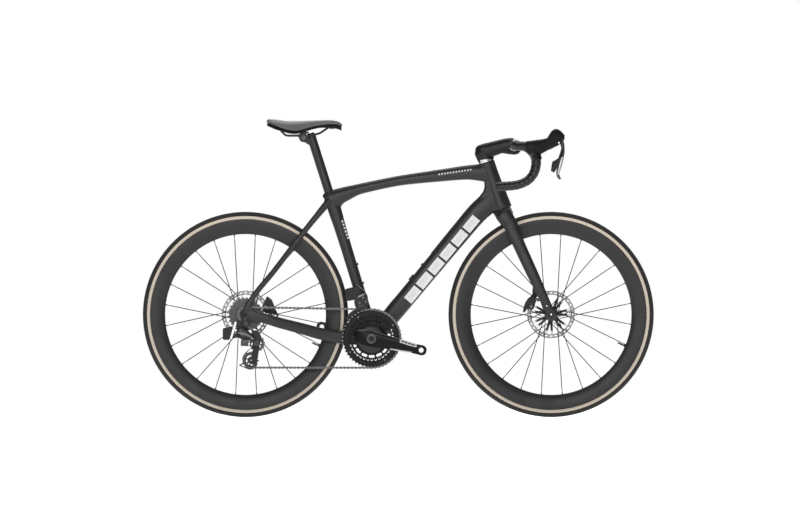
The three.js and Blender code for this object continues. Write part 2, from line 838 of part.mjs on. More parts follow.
/** Twelve spokes on one side of a wheel, laced in pairs that cross and touch. */
function spokes(axle, side, flangeY) {
  const made = [];
  for (let i = 0; i < 24; i++) {
    const spokeSide = i % 2 === 0 ? -1 : 1;
    if (spokeSide !== side) continue;
    const lean = i % 4 < 2 ? -1 : 1;
    const rim = THREE.MathUtils.degToRad(SPOKE.first + SPOKE.step * i);
    const rimR = RIM_INNER_R - GAP - 0.1;
    const hub = rim + lean * Math.acos(SPOKE.tangentR / rimR);
    const at = (t, r, y) => vec(axle.x + r * Math.cos(t), y, axle.z + r * Math.sin(t));
    made.push(
      rod(at(rim, rimR, side * SPOKE.rimY), at(hub, SPOKE.tangentR, side * flangeY), 1.6, 3),
    );
  }
  return made.reduce((a, b) => a.add(b));
}

/** A hub shell turned about its axle, with a bore for it. */
function hubShell(axle, half, leftFlange, rightFlange, rotorY) {
  const bore = AXLE_R + GAP;
  return turned(
    [
      [bore, -half + GAP],
      [10.5, -half + GAP],
      [10.5, -rightFlange - 7],
      [20.2, -rightFlange - 2.6],
      [20.2, -rightFlange + 2.2],
      [13, -rightFlange + 9],
      [13, leftFlange - 9],
      [20.2, leftFlange - 2.2],
      [20.2, leftFlange + 2.6],
      [17, rotorY - 1.6],
      [17, rotorY + 3],
      [10.5, rotorY + 5],
      [10.5, half - GAP],
      [bore, half - GAP],
    ],
    12,
  ).translate([axle.x, 0, axle.z]);
}

/** A braking ring on a six-armed carrier. */
function rotor(axle, y) {
  const window = (k) => {
    const mid = (k * Math.PI) / 3 + 0.3;
    const at = (r, t) => [axle.x + r * Math.cos(mid + t), axle.z + r * Math.sin(mid + t)];
    return [at(27, -0.34), at(62, -0.34), at(66.5, 0), at(62, 0.36), at(27, 0.1)];
  };
  const holes = [0, 1, 2, 3, 4, 5].map(window);
  const bore = circlePoints(axle.x, axle.z, 17.9, 12);
  const half = ROTOR_T / 2;
  return plate(circlePoints(axle.x, axle.z, ROTOR_R, 28), y - half, y + half, [...holes, bore]);
}

const axleRod = (axle, y0, y1, headY, headR = 8.5) =>
  union(
    drumY(axle.x, axle.z, AXLE_R, y0, y1, 12),
    drumY(axle.x, axle.z, headR, Math.min(headY, y1), Math.max(headY, y1), 12),
  );

for (const [name, axle, half, left, right, rotorY] of [
  ["front", FRONT_AXLE, FRONT_HUB_HALF, 24, 35, FRONT_ROTOR_Y],
  ["rear", REAR_AXLE, REAR_HUB_HALF, 35, 16, REAR_ROTOR_Y],
]) {
  add(`${name}_tyre`, wheelTurned(TYRE).translate([axle.x, 0, axle.z]), "tyre");
  add(`${name}_rim`, wheelTurned(RIM).translate([axle.x, 0, axle.z]), "rimCarbon");
  add(`${name}_right_spokes`, spokes(axle, -1, right), "darkSteel");
  add(`${name}_left_spokes`, spokes(axle, 1, left), "darkSteel");
  if (name === "front") add("front_hub", hubShell(axle, half, left, right, rotorY), "blackAlloy");
  else add("rear_hub", rearHub(left, right), "blackAlloy");
  add(`${name}_rotor`, rotor(axle, rotorY), "steel");
}
add("front_axle", axleRod(FRONT_AXLE, -FORK_END.outer, FORK_END.outer + 3, FORK_END.outer + GAP), "blackAlloy");
add("rear_axle", axleRod(REAR_AXLE, -DROPOUT.outer, DROPOUT.outer + 3, DROPOUT.outer + GAP), "blackAlloy");

/** The rear hub stops at the freehub, which turns on the axle beside it. */
function rearHub(left, right) {
  const bore = AXLE_R + GAP;
  return turned(
    [
      [bore, -right - 4],
      [19, -right - 4],
      [20.2, -right - 2.6],
      [20.2, -right + 2.2],
      [13, -right + 9],
      [13, left - 9],
      [20.2, left - 2.2],
      [20.2, left + 2.6],
      [17, REAR_ROTOR_Y - 1.6],
      [17, REAR_ROTOR_Y + 3],
      [10.5, REAR_ROTOR_Y + 5],
      [10.5, REAR_HUB_HALF - GAP],
      [bore, REAR_HUB_HALF - GAP],
    ],
    12,
  ).translate([REAR_AXLE.x, 0, REAR_AXLE.z]);
}

// ---------------------------------------------------------------- cassette and cranks

const FREEHUB = { y0: -70.5, y1: -20.6, radius: 14.2 };
const sprocketY = (i) => SPROCKET_Y + i * SPROCKET_STEP;

/** Twelve sprockets on one sleeve. They stop short of the chain's rollers. */
function cassette() {
  const discs = SPROCKETS.map((teeth, i) => {
    const y = sprocketY(i);
    const radius = pitchRadius(teeth) - CHAIN_WEB;
    return drumY(REAR_AXLE.x, REAR_AXLE.z, radius, y - SPROCKET_T / 2, y + SPROCKET_T / 2, 14);
  });
  const sleeve = drumY(REAR_AXLE.x, REAR_AXLE.z, 17.2, SPROCKET_Y - 0.8, sprocketY(11) + 0.8, 14);
  const bore = drumY(REAR_AXLE.x, REAR_AXLE.z, FREEHUB.radius + GAP, -90, 0, 14);
  return cut(union(sleeve, ...discs), bore);
}

const freehub = () =>
  cut(
    drumY(REAR_AXLE.x, REAR_AXLE.z, FREEHUB.radius, FREEHUB.y0, FREEHUB.y1, 14),
    drumY(REAR_AXLE.x, REAR_AXLE.z, AXLE_R + GAP, -90, 0, 16),
  );

const CHAIN_WEB = 1.7; // the chain's middle fills this much either side of its pitch line
const RING_BORE = 30;

/** A chainring, with a tooth to every chain link where toothed, and a ring of round windows. */
function chainring(teeth, y, innerR, windows = 0, windowR = 0, windowAt = 0) {
  const outer = [];
  const tip = pitchRadius(teeth) - CHAIN_WEB;
  for (let i = 0; i < 2 * teeth; i++) {
    const t = (i / teeth) * Math.PI;
    const r = i % 2 ? tip : tip - 3;
    outer.push([BB.x + r * Math.cos(t), BB.z + r * Math.sin(t)]);
  }
  const holes = Array.from({ length: windows }, (_, k) => {
    const t = ((k + 0.5) / windows) * 2 * Math.PI;
    return circlePoints(BB.x + windowAt * Math.cos(t), BB.z + windowAt * Math.sin(t), windowR, 6);
  });
  return plate(outer, y - 1, y + 1, [...holes, circlePoints(BB.x, BB.z, innerR, 20)]);
}

function smallRing() {
  const posts = Array.from({ length: 4 }, (_, k) => {
    const t = ((k + 0.5) / 4) * 2 * Math.PI;
    const [x, z] = [BB.x + 53 * Math.cos(t), BB.z + 53 * Math.sin(t)];
    return drumY(x, z, 4, RING_Y + 1 + GAP, SMALL_RING_Y, 6);
  });
  const radius = pitchRadius(SMALL_RING_TEETH) - CHAIN_WEB;
  const outline = circlePoints(BB.x, BB.z, radius, SMALL_RING_TEETH);
  const bore = circlePoints(BB.x, BB.z, 46, 20);
  return union(plate(outline, SMALL_RING_Y - 1, SMALL_RING_Y + 1, [bore]), ...posts);
}

const PEDAL_EYE_R = 7.1;

/** A crank arm that points along angle, measured from +X towards +Z. */
function crankArm(angle, yHub, yEye, depthHub, depthEye) {
  const at = (r) => [BB.x + r * Math.cos(angle), BB.z + r * Math.sin(angle)];
  const stations = [
    [0, yHub, 26, depthHub],
    [25, yHub, 24.5, depthHub],
    [60, (yHub * 2 + yEye) / 3, 22, (depthHub * 2 + depthEye) / 3],
    [120, (yHub + yEye * 2) / 3, 18.5, depthEye + 0.5],
    [CRANK_LENGTH, yEye, 17, depthEye],
    [CRANK_LENGTH + 12, yEye, 11.5, depthEye - 1],
  ];
  const arm = tube(
    stations.map(([r, y, high, wide]) => [at(r)[0], y, at(r)[1], high, wide]),
    8,
    3,
  );
  const [ex, ez] = at(CRANK_LENGTH);
  return cut(arm, drumY(ex, ez, PEDAL_EYE_R, -100, 100, 12));
}

const SPINDLE_LEFT = 62;

const rightCrank = () =>
  union(
    crankArm(-CRANK_ANGLE, -63, -68, 8, 6.5),
    drumY(BB.x, BB.z, 22, -66, -44.5, 14),
    drumY(BB.x, BB.z, RING_BORE - GAP - 0.2, -55, -46.5, 20),
    drumY(BB.x, BB.z, SPINDLE_R, -50, SPINDLE_LEFT, 16),
  );

const leftCrank = () =>
  cut(
    union(crankArm(Math.PI - CRANK_ANGLE, 56, 68, 9, 6.5), drumY(BB.x, BB.z, 20, 43, 62, 14)),
    drumY(BB.x, BB.z, SPINDLE_R + GAP, 0, SPINDLE_LEFT + GAP, 16),
  );

add("freehub", freehub(), "blackAlloy");
add("cassette", cassette(), "steel");
add("right_crank", rightCrank(), "carbon");
add("left_crank", leftCrank(), "carbon");
add("big_chainring", chainring(RING_TEETH, RING_Y, RING_BORE, 8, 7, 56), "darkSteel");
add("small_chainring", smallRing(), "darkSteel");

// ---------------------------------------------------------------- chain

const GUIDE = { x: -472, z: 246 };
const TENSION = { x: -490, z: 190 };
const PULLEY_Y = SPROCKET_Y + CHAIN_SPROCKET * SPROCKET_STEP;
const CHAIN = { halfHeight: 4.1, halfWidth: 2.6, plate: 1.0 };

/** What the chain goes round, in order; turn is +1 where it bends towards the ring's centre. */
const CHAIN_STOPS = [
  { ...BB, r: pitchRadius(RING_TEETH), turn: 1, y: RING_Y, steps: 11 },
  { ...REAR_AXLE, r: pitchRadius(SPROCKETS[CHAIN_SPROCKET]), turn: 1, y: PULLEY_Y, steps: 5 },
  { ...GUIDE, r: pitchRadius(PULLEY_TEETH), turn: -1, y: PULLEY_Y, steps: 4 },
  { ...TENSION, r: pitchRadius(PULLEY_TEETH), turn: 1, y: PULLEY_Y, steps: 5 },
];

/** Points of the chain's pitch line, each with the direction that faces away from its centre. */
function chainLine() {
  const headings = CHAIN_STOPS.map((a, i) => {
    const b = CHAIN_STOPS[(i + 1) % CHAIN_STOPS.length];
    const [dx, dz] = [b.x - a.x, b.z - a.z];
    return Math.atan2(dz, dx) - Math.asin((b.turn * b.r - a.turn * a.r) / Math.hypot(dx, dz));
  });
  const points = [];
  CHAIN_STOPS.forEach((stop, i) => {
    const first = headings[(i + CHAIN_STOPS.length - 1) % CHAIN_STOPS.length];
    let sweep = headings[i] - first;
    while (stop.turn * sweep < 0) sweep += stop.turn * 2 * Math.PI;
    while (stop.turn * sweep > 2 * Math.PI) sweep -= stop.turn * 2 * Math.PI;
    for (let k = 0; k <= stop.steps; k++) {
      const heading = first + (sweep * k) / stop.steps;
      const left = vec(-Math.sin(heading), 0, Math.cos(heading));
      const centre = vec(stop.x, stop.y, stop.z);
      const bulge = 1 / Math.cos(sweep / stop.steps / 2);
      const r = stop.turn * stop.r * (k > 0 && k < stop.steps ? bulge : 1);
      points.push({ at: centre.addScaledVector(left, -r), out: left.negate() });
    }
  });
  return points;
}

/** A closed belt with an H section: two side strips joined along the pitch line. */
function chain() {
  const { halfHeight: h, halfWidth: w, plate: p } = CHAIN;
  const web = CHAIN_WEB - 0.9;
  const section = [
    [-h, -w],
    [-h, -w + p],
    [-web, -w + p],
    [-web, w - p],
    [-h, w - p],
    [-h, w],
    [h, w],
    [h, w - p],
    [web, w - p],
    [web, -w + p],
    [h, -w + p],
    [h, -w],
  ];
  const rings = chainLine().map(({ at, out }) =>
    section.map(([r, y]) => at.clone().addScaledVector(out, r).add(vec(0, y, 0))),
  );
  const positions = [];
  rings.forEach((here, i) => {
    const next = rings[(i + 1) % rings.length];
    here.forEach((a, j) => {
      const k = (j + 1) % here.length;
      for (const q of [a, here[k], next[k], a, next[k], next[j]]) positions.push(q.x, q.y, q.z);
    });
  });
  const g = new THREE.BufferGeometry();
  g.setAttribute("position", new THREE.BufferAttribute(new Float32Array(positions), 3));
  return solid(g);
}

add("chain", chain(), "steel");

// ---------------------------------------------------------------- derailleurs

const PULLEY = { radius: pitchRadius(PULLEY_TEETH) - CHAIN_WEB, bore: 2.75, half: 1.1 };
const CAGE = { outerY: PULLEY_Y - 4.6, innerY: PULLEY_Y + 4.6, thick: 1.4 };
const LINK = { from: { x: -525, z: 287.5 }, to: { x: -487, z: 262 }, y: -87 };

function pulley(centre) {
  const y = PULLEY_Y;
  return cut(
    drumY(centre.x, centre.z, PULLEY.radius, y - PULLEY.half, y + PULLEY.half, 16),
    drumY(centre.x, centre.z, PULLEY.bore + GAP, y - 9, y + 9, 10),
  );
}

/** Two plates joined by the pulleys' pins. */
function cage() {
  const outline = [
    [GUIDE.x - 10, GUIDE.z + 9],
    [GUIDE.x + 4, GUIDE.z + 14],
    [GUIDE.x + 13, GUIDE.z + 4],
    [GUIDE.x + 10, GUIDE.z - 16],
    [TENSION.x + 13, TENSION.z + 4],
    [TENSION.x + 9, TENSION.z - 11],
    [TENSION.x - 5, TENSION.z - 13],
    [TENSION.x - 13, TENSION.z - 2],
    [TENSION.x - 8, TENSION.z + 14],
    [GUIDE.x - 16, GUIDE.z - 14],
  ];
  const pins = [GUIDE, TENSION].map(({ x, z }) =>
    drumY(x, z, PULLEY.bore, CAGE.outerY - CAGE.thick, CAGE.innerY + CAGE.thick, 10),
  );
  return union(
    plate(outline, CAGE.outerY - CAGE.thick, CAGE.outerY),
    plate(outline, CAGE.innerY, CAGE.innerY + CAGE.thick),
    ...pins,
  );
}

const KNUCKLE_Y = { inner: CAGE.outerY - CAGE.thick - 0.5, outer: -91 };

/** The fixed knuckle on the hanger, with the battery behind it. */
function derailleurBody() {
  const x = HANGER.x;
  const z = HANGER.z;
  return union(
    drumY(x, z, 13, -96, -DROPOUT.outer - GAP, 16),
    drumY(x, z, 4.8, -DROPOUT.outer - 1, -DROPOUT.inner - 0.3, 10),
    box(-584, -562, -99, -79, 256, 314),
    box(-566, x, -95, -82, 300, 314),
    box(-566, -530, -92, -82, 264, 275),
  );
}

/** The moving link, between the fixed knuckle and the one that carries the cage. */
const linkBody = () =>
  tube(
    [
      [LINK.from.x, LINK.y, LINK.from.z, 9, 4.4],
      [(LINK.from.x + LINK.to.x) / 2, LINK.y, (LINK.from.z + LINK.to.z) / 2, 12, 4.4],
      [LINK.to.x, LINK.y, LINK.to.z, 11, 4.4],
    ],
    8,
    4,
  );

const knuckle = () => drumY(GUIDE.x, GUIDE.z, 14.8, KNUCKLE_Y.outer, KNUCKLE_Y.inner, 16);

const cageAt = (r0, r1, t0, t1, steps = 6) => {
  const arc = (r, a, b) =>
    Array.from({ length: steps + 1 }, (_, i) => {
      const t = THREE.MathUtils.degToRad(a + ((b - a) * i) / steps);
      return [BB.x + r * Math.cos(t), BB.z + r * Math.sin(t)];
    });
  return [...arc(r0, t0, t1), ...arc(r1, t1, t0)];
};

/** The front cage: a plate either side of the chain, joined over the top and at the tail. */
function frontCage() {
  const tip = pitchRadius(RING_TEETH) + 2.2;
  const outer = plate(cageAt(tip, 112, 88, 142), RING_Y - 6.4, RING_Y - 5.2);
  const inner = plate(cageAt(92, 113, 88, 142), RING_Y + 5.2, RING_Y + 6.4);
  const top = plate(cageAt(109, 113, 92, 108, 3), RING_Y - 6, RING_Y + 6);
  const tail = plate(cageAt(108, 112, 136, 142, 2), RING_Y - 6, RING_Y + 6);
  return union(outer, inner, top, tail);
}

/** Motor body bolted to the seat tube, with the battery behind it. */
function frontBody() {
  return cut(
    union(
      box(-143, -100, -40, -23, 379, 410),
      box(-171, -120, -44, -26, 392, 434),
      box(-150, -118, -30, -14, 386, 404),
    ),
    seatTube(GAP),
  );
}

add("derailleur_body", derailleurBody(), "blackAlloy");
add("derailleur_link", linkBody(), "blackAlloy");
add("derailleur_knuckle", knuckle(), "blackAlloy");
add("derailleur_cage", cage(), "steel");
add("guide_pulley", pulley(GUIDE), "plastic");
add("tension_pulley", pulley(TENSION), "plastic");
add("front_derailleur_body", largest(frontBody()), "blackAlloy");
add("front_derailleur_cage", frontCage(), "steel");

// ---------------------------------------------------------------- disc brakes

const PAD = { clear: 0.5, thick: 3.2, half: 9 };

/** A caliper given by the middle of its pads, the rotor's plane and the block round it. */
const CALIPERS = {
  front: { axle: FRONT_AXLE, y: FRONT_ROTOR_Y, angle: 160, block: [-97, -55, 6, 62] },
  rear: { axle: REAR_AXLE, y: REAR_ROTOR_Y, angle: 22, block: [62, 103, -6, 56] },
};

const padAt = ({ axle, angle }) => {
  const t = THREE.MathUtils.degToRad(angle);
  return { x: axle.x + 71 * Math.cos(t), z: axle.z + 71 * Math.sin(t) };
};

function pad(caliper, side) {
  const { x, z } = padAt(caliper);
  const near = caliper.y + side * (ROTOR_T / 2 + PAD.clear);
  const far = near + side * PAD.thick;
  return drumY(x, z, PAD.half, Math.min(near, far), Math.max(near, far), 10);
}

function caliper(data, mounts) {
  const { x, z } = padAt(data);
  const slotHalf = ROTOR_T / 2 + PAD.clear + 0.2;
  const reach = slotHalf + PAD.thick + 0.6;
  const block = drumY(x, z, 15, data.y - 11, data.y + 12, 12);
  return cut(
    union(block, ...mounts),
    drumY(data.axle.x, data.axle.z, ROTOR_R + 2, data.y - slotHalf, data.y + slotHalf, 24),
    drumY(x, z, PAD.half + GAP, data.y - reach, data.y + reach, 10),
  );
}

const frontCaliperBody = () =>
  cut(
    caliper(CALIPERS.front, [
      tube(
        [
          [423, FRONT_ROTOR_Y + 7, 402, 8, 6],
          [438, FRONT_ROTOR_Y + 8, 384, 11, 7],
          [446, FRONT_ROTOR_Y + 8, 352, 9, 6],
        ],
        8,
        3,
      ),
    ]),
    forkLeg(1),
  );

const rearCaliperBody = () =>
  cut(
    caliper(CALIPERS.rear, [
      tube(
        [
          [-404, REAR_ROTOR_Y - 2, 349, 8, 6],
          [-425, REAR_ROTOR_Y, 362, 12, 8],
          [-440, REAR_ROTOR_Y, 384, 10, 7],
        ],
        8,
        3,
      ),
    ]),
    chainstaySolids.get(1),
    seatstay(1),
  );

add("front_caliper", largest(frontCaliperBody()), "blackAlloy");
add("rear_caliper", largest(rearCaliperBody()), "blackAlloy");
for (const [name, data] of Object.entries(CALIPERS)) {
  add(`${name}_inner_pad`, pad(data, -1), "darkSteel");
  add(`${name}_outer_pad`, pad(data, 1), "darkSteel");
}

export default bicycle;
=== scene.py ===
"""Road bicycle: the visible pieces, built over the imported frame.

Lengths in the tables are millimetres in the frame's axes: +X forward, +Y to the rider's left and
+Z up. Angles in them are degrees.
"""

import json
import math

import bmesh
import bpy
from mathutils import Matrix, Vector


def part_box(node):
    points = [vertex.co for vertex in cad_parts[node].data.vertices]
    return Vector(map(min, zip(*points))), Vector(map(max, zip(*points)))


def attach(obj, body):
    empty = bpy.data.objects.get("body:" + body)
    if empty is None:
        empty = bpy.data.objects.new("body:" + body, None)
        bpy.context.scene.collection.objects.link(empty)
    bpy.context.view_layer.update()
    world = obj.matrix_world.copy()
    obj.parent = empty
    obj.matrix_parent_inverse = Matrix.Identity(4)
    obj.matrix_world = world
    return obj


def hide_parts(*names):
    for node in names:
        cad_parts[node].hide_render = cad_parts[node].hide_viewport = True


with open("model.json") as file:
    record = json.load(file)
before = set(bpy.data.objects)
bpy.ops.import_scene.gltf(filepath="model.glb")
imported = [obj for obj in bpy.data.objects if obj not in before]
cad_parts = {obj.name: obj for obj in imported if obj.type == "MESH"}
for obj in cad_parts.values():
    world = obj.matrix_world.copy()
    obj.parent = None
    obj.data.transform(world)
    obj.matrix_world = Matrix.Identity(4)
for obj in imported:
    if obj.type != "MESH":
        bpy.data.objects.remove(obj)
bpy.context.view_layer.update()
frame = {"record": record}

MM = 0.001
TAU = 2 * math.pi
AHEAD, ACROSS, UP = Vector((1, 0, 0)), Vector((0, 1, 0)), Vector((0, 0, 1))

# ---------------------------------------------------------------- where things are


def centre(node):
    """Middle of a CAD node's box, in millimetres."""
    low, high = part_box(node)
    return Vector([(a + b) / 2 / MM for a, b in zip(low, high)])


def joint(name):
    return next(j for j in frame["record"]["behaviour"]["joints"] if j["name"] == name)


def joint_at(name):
    return Vector(joint(name)["pos_m"]) / MM


FRONT = joint_at("front_wheel_spin")
REAR = joint_at("rear_wheel_spin")
BB = joint_at("crank_spin")
GUIDE = joint_at("guide_pulley_spin")
TENSION = joint_at("tension_pulley_spin")
STEER_AXIS = Vector(joint("steering_turn")["axis"]).normalized()
STEER_AHEAD = Vector((STEER_AXIS.z, 0, -STEER_AXIS.x))
FORK_OFFSET = 48
STEER_FOOT = FRONT - STEER_AHEAD * FORK_OFFSET
SEAT_AXIS = Vector(joint("seatpost_height")["axis"]).normalized()
SEAT_POINT = (-257.3, 838.9)


def steer(s, n=0, y=0):
    """A point s up the steering axis, n ahead of it and y to the left."""
    p = STEER_FOOT + STEER_AXIS * s + STEER_AHEAD * n
    return Vector((p.x, y, p.z))


def seat_line(z):
    """The point of the seat tube's centre line at height z."""
    x, height = SEAT_POINT
    return Vector((x + SEAT_AXIS.x / SEAT_AXIS.z * (z - height), 0, z))


# ---------------------------------------------------------------- materials


class Nodes:
    """A material under construction."""

    def __init__(self, name, colour, rough=0.5, metal=0.0, **sockets):
        self.mat = bpy.data.materials.new(name)
        self.mat.use_nodes = True
        self.tree = self.mat.node_tree
        self.bsdf = self.tree.nodes["Principled BSDF"]
        self.bsdf.inputs["Base Color"].default_value = (*colour, 1)
        self.bsdf.inputs["Roughness"].default_value = rough
        self.bsdf.inputs["Metallic"].default_value = metal
        for key, value in sockets.items():
            self.bsdf.inputs[key.replace("_", " ")].default_value = value
        self.mat.diffuse_color = (*colour, 1)
        self.coords = self.tree.nodes.new("ShaderNodeTexCoord").outputs["Object"]

    def node(self, kind):
        return self.tree.nodes.new("ShaderNode" + kind)

    def link(self, a, b):
        self.tree.links.new(a, b)

    def math(self, operation, a, b=None, c=None):
        made = self.node("Math")
        made.operation = operation
        for i, value in enumerate((a, b, c)):
            if value is None:
                continue
            if isinstance(value, (int, float)):
                made.inputs[i].default_value = value
            else:
                self.link(value, made.inputs[i])
        return made.outputs[0]

    def add(self, a, b):
        return self.math("ADD", a, b)

    def less(self, a, b):
        return self.math("LESS_THAN", a, b)

    def more(self, a, b):
        return self.math("GREATER_THAN", a, b)

    def sub(self, a, b):
        return self.math("SUBTRACT", a, b)

    def times(self, a, b):
        return self.math("MULTIPLY", a, b)

    def xyz(self):
        split = self.node("SeparateXYZ")
        self.link(self.coords, split.inputs[0])
        return split.outputs

    def radius(self):
        """Distance from the object's own Y axis."""
        x, _, z = self.xyz()
        return self.math("SQRT", self.add(self.times(x, x), self.times(z, z)))

    def line(self, x, z, slope):
        """How far along and across a line through (x, z) that rises at slope, in the side plane."""
        dx, dz = math.cos(slope), math.sin(slope)
        px, _, pz = self.xyz()
        px, pz = self.sub(px, x * MM), self.sub(pz, z * MM)
        along = self.add(self.times(px, dx), self.times(pz, dz))
        return along, self.sub(self.times(pz, dx), self.times(px, dz))

    def noise(self, scale, detail=3):
        made = self.node("TexNoise")
        made.inputs["Scale"].default_value = scale
        made.inputs["Detail"].default_value = detail
        self.link(self.coords, made.inputs["Vector"])
        return made.outputs[0]

    def ramp(self, value, *stops):
        made = self.node("ValToRGB")
        ramp = made.color_ramp
        while len(ramp.elements) < len(stops):
            ramp.elements.new(0.5)
        for element, (at, colour) in zip(ramp.elements, stops):
            element.position = at
            if isinstance(colour, (int, float)):
                colour = (colour, colour, colour)
            element.color = (*colour, 1)
        self.link(value, made.inputs[0])
        return made.outputs[0]

    def mix(self, factor, a, b):
        made = self.node("Mix")
        made.data_type = "RGBA"
        self.link(factor, made.inputs[0])
        for socket, value in ((made.inputs[6], a), (made.inputs[7], b)):
            if isinstance(value, tuple):
                socket.default_value = (*value, 1)
            else:
                self.link(value, socket)
        return made.outputs[2]

    def between(self, value, low, high):
        """1 where value lies between low and high."""
        return self.times(self.more(value, low), self.less(value, high))

    def colour(self, output):
        self.link(output, self.bsdf.inputs["Base Color"])
        return self

    def rough(self, output):
        self.link(output, self.bsdf.inputs["Roughness"])
        return self

    def vary_rough(self, scale, low, high):
        return self.rough(self.ramp(self.noise(scale, 4), (0.3, low), (0.7, high)))

    def bump(self, height, strength=0.3, distance=0.001):
        made = self.node("Bump")
        made.inputs["Strength"].default_value = strength
        made.inputs["Distance"].default_value = distance
        self.link(height, made.inputs["Height"])
        previous = self.bsdf.inputs["Normal"].links
        if previous:
            self.link(previous[0].from_socket, made.inputs["Normal"])
        self.link(made.outputs[0], self.bsdf.inputs["Normal"])
        return self


def satin_carbon(name, base=0.013, rough=(0.34, 0.44), gloss=0.3):
    m = Nodes(
        name, (base, base, base * 1.02), 0.4, 0.0, Coat_Weight=0.1, Coat_Roughness=0.3,
        Specular_IOR_Level=gloss,
    )
    flake = m.noise(900, 2)
    slow = m.noise(14, 3)
    dark = (base * 0.85, base * 0.85, base * 0.88)
    light = (base * 1.35, base * 1.35, base * 1.36)
    m.colour(m.mix(m.ramp(flake, (0.45, 0.0), (0.7, 1.0)), dark, light))
    m.rough(m.ramp(slow, (0.3, rough[0]), (0.7, rough[1])))
    m.bump(m.noise(500, 2), 0.05, 0.0002)
    return m


def black_metal(name, base=0.02, rough=(0.28, 0.42), metal=0.75):
    m = Nodes(name, (base, base, base * 1.03), 0.35, metal)
    m.vary_rough(60, *rough)
    m.bump(m.noise(1400, 2), 0.06, 0.0001)
    return m


def bright_metal(name, tone=0.5, rough=(0.22, 0.36), tint=1.0):
    m = Nodes(name, (tone, tone, tone * tint), 0.3, 1.0)
    fine = m.noise(900, 3)
    m.colour(m.mix(fine, (tone * 0.82,) * 3, (tone, tone, tone * tint)))
    m.vary_rough(200, *rough)
    m.bump(fine, 0.05, 0.0001)
    return m


def matte_plastic(name, base=0.012, rough=(0.45, 0.6), grain=1600):
    m = Nodes(name, (base, base, base), 0.5, 0.0, Specular_IOR_Level=0.3)
    m.vary_rough(40, *rough)
    m.bump(m.noise(grain, 2), 0.12, 0.0002)
    return m


MAT = {}
MAT["carbon"] = satin_carbon("satin_carbon").mat
MAT["stem_carbon"] = satin_carbon("stem_carbon", 0.006, (0.3, 0.42), 0.2).mat
MAT["rim_carbon"] = satin_carbon("rim_carbon", 0.015, (0.38, 0.5)).mat
MAT["crank_carbon"] = satin_carbon("crank_carbon", 0.007, (0.2, 0.3), 0.2).mat
MAT["black_alloy"] = black_metal("black_alloy").mat
MAT["gloss_black"] = black_metal("gloss_black", 0.012, (0.14, 0.24), 0.3).mat
MAT["spoke"] = black_metal("spoke_black", 0.03, (0.25, 0.35), 0.9).mat
MAT["steel"] = bright_metal("rotor_steel", 0.55).mat
MAT["track_steel"] = bright_metal("track_steel", 0.26, (0.3, 0.45)).mat
MAT["grey_steel"] = bright_metal("grey_steel", 0.2, (0.28, 0.4)).mat
MAT["dark_steel"] = bright_metal("dark_steel", 0.06, (0.25, 0.4)).mat
MAT["chain"] = bright_metal("chain_plates", 0.115, (0.24, 0.4), 0.97).mat
MAT["spacer"] = bright_metal("spacer_alloy", 0.72, (0.35, 0.5)).mat
MAT["rubber"] = matte_plastic("hood_rubber", 0.008, (0.6, 0.75), 900).mat
MAT["plastic"] = matte_plastic("black_plastic").mat
MAT["lever_grey"] = black_metal("lever_grey", 0.34, (0.26, 0.36), 0.9).mat
MAT["arm_grey"] = black_metal("arm_grey", 0.05, (0.22, 0.34), 0.4).mat


def tyre_material():
    m = Nodes("tyre_tan_wall", (0.03, 0.03, 0.03), 0.8, 0.0, Specular_IOR_Level=0.25)
    radius = m.radius()
    tan = m.between(radius, 0.3172, 0.3284)
    edge = m.add(m.between(radius, 0.3172, 0.3180), m.between(radius, 0.3277, 0.3284))
    weave = m.noise(700, 3)
    wall = m.mix(m.ramp(weave, (0.35, 0.0), (0.65, 1.0)), (0.50, 0.435, 0.35), (0.61, 0.54, 0.455))
    wall = m.mix(edge, wall, (0.07, 0.045, 0.03))
    grime = m.noise(90, 4)
    tread = m.mix(grime, (0.018, 0.018, 0.018), (0.03, 0.029, 0.028))
    m.colour(m.mix(tan, tread, wall))
    m.rough(m.math("MULTIPLY_ADD", tan, -0.15, 0.82))
    m.bump(weave, 0.15, 0.0003)
    return m.mat


MAT["tyre"] = tyre_material()

# ---------------------------------------------------------------- shapes


def put(name, data):
    """A new object that shows this data."""
    obj = bpy.data.objects.new(name, data)
    bpy.context.scene.collection.objects.link(obj)
    return obj


def mesh_of(obj):
    return bpy.data.meshes.new_from_object(obj.evaluated_get(bpy.context.evaluated_depsgraph_get()))


def smooth(mesh):
    mesh.polygons.foreach_set("use_smooth", [True] * len(mesh.polygons))


def sharpen(mesh, angle):
    """Creases the edges that are sharper than angle, in degrees."""
    mesh.set_sharp_from_angle(angle=math.radians(angle))


def finished(name, mesh, material, auto):
    """The object of a mesh with its material, smooth between its sharp edges."""
    mesh.materials.append(MAT[material])
    smooth(mesh)
    sharpen(mesh, auto)
    return put(name, mesh)


def from_bmesh(name, bm):
    mesh = bpy.data.meshes.new(name)
    bm.to_mesh(mesh)
    bm.free()
    return mesh


def to_object(name, verts, faces, material, auto=35):
    mesh = bpy.data.meshes.new(name)
    mesh.from_pydata([tuple(v * MM for v in p) for p in verts], [], faces)
    mesh.validate()
    bm = bmesh.new()
    bm.from_mesh(mesh)
    bmesh.ops.recalc_face_normals(bm, faces=bm.faces)
    bm.to_mesh(mesh)
    bm.free()
    return finished(name, mesh, material, auto)


def spline(points, per=8):
    """Catmull-Rom through tuples of any length."""
    if len(points) < 3:
        return [tuple(p) for p in points]
    out = []
    last = len(points) - 1
    for i in range(last):
        p0 = points[max(i - 1, 0)]
        p1, p2 = points[i], points[i + 1]
        p3 = points[min(i + 2, last)]
        for k in range(per):
            t = k / per
            row = []
            for a, b, c, d in zip(p0, p1, p2, p3):
                quadratic = (2 * a - 5 * b + 4 * c - d) * t * t
                cubic = (3 * b - a - 3 * c + d) * t**3
                row.append(0.5 * (2 * b + (c - a) * t + quadratic + cubic))
            out.append(tuple(row))
    out.append(tuple(points[-1]))
    return out


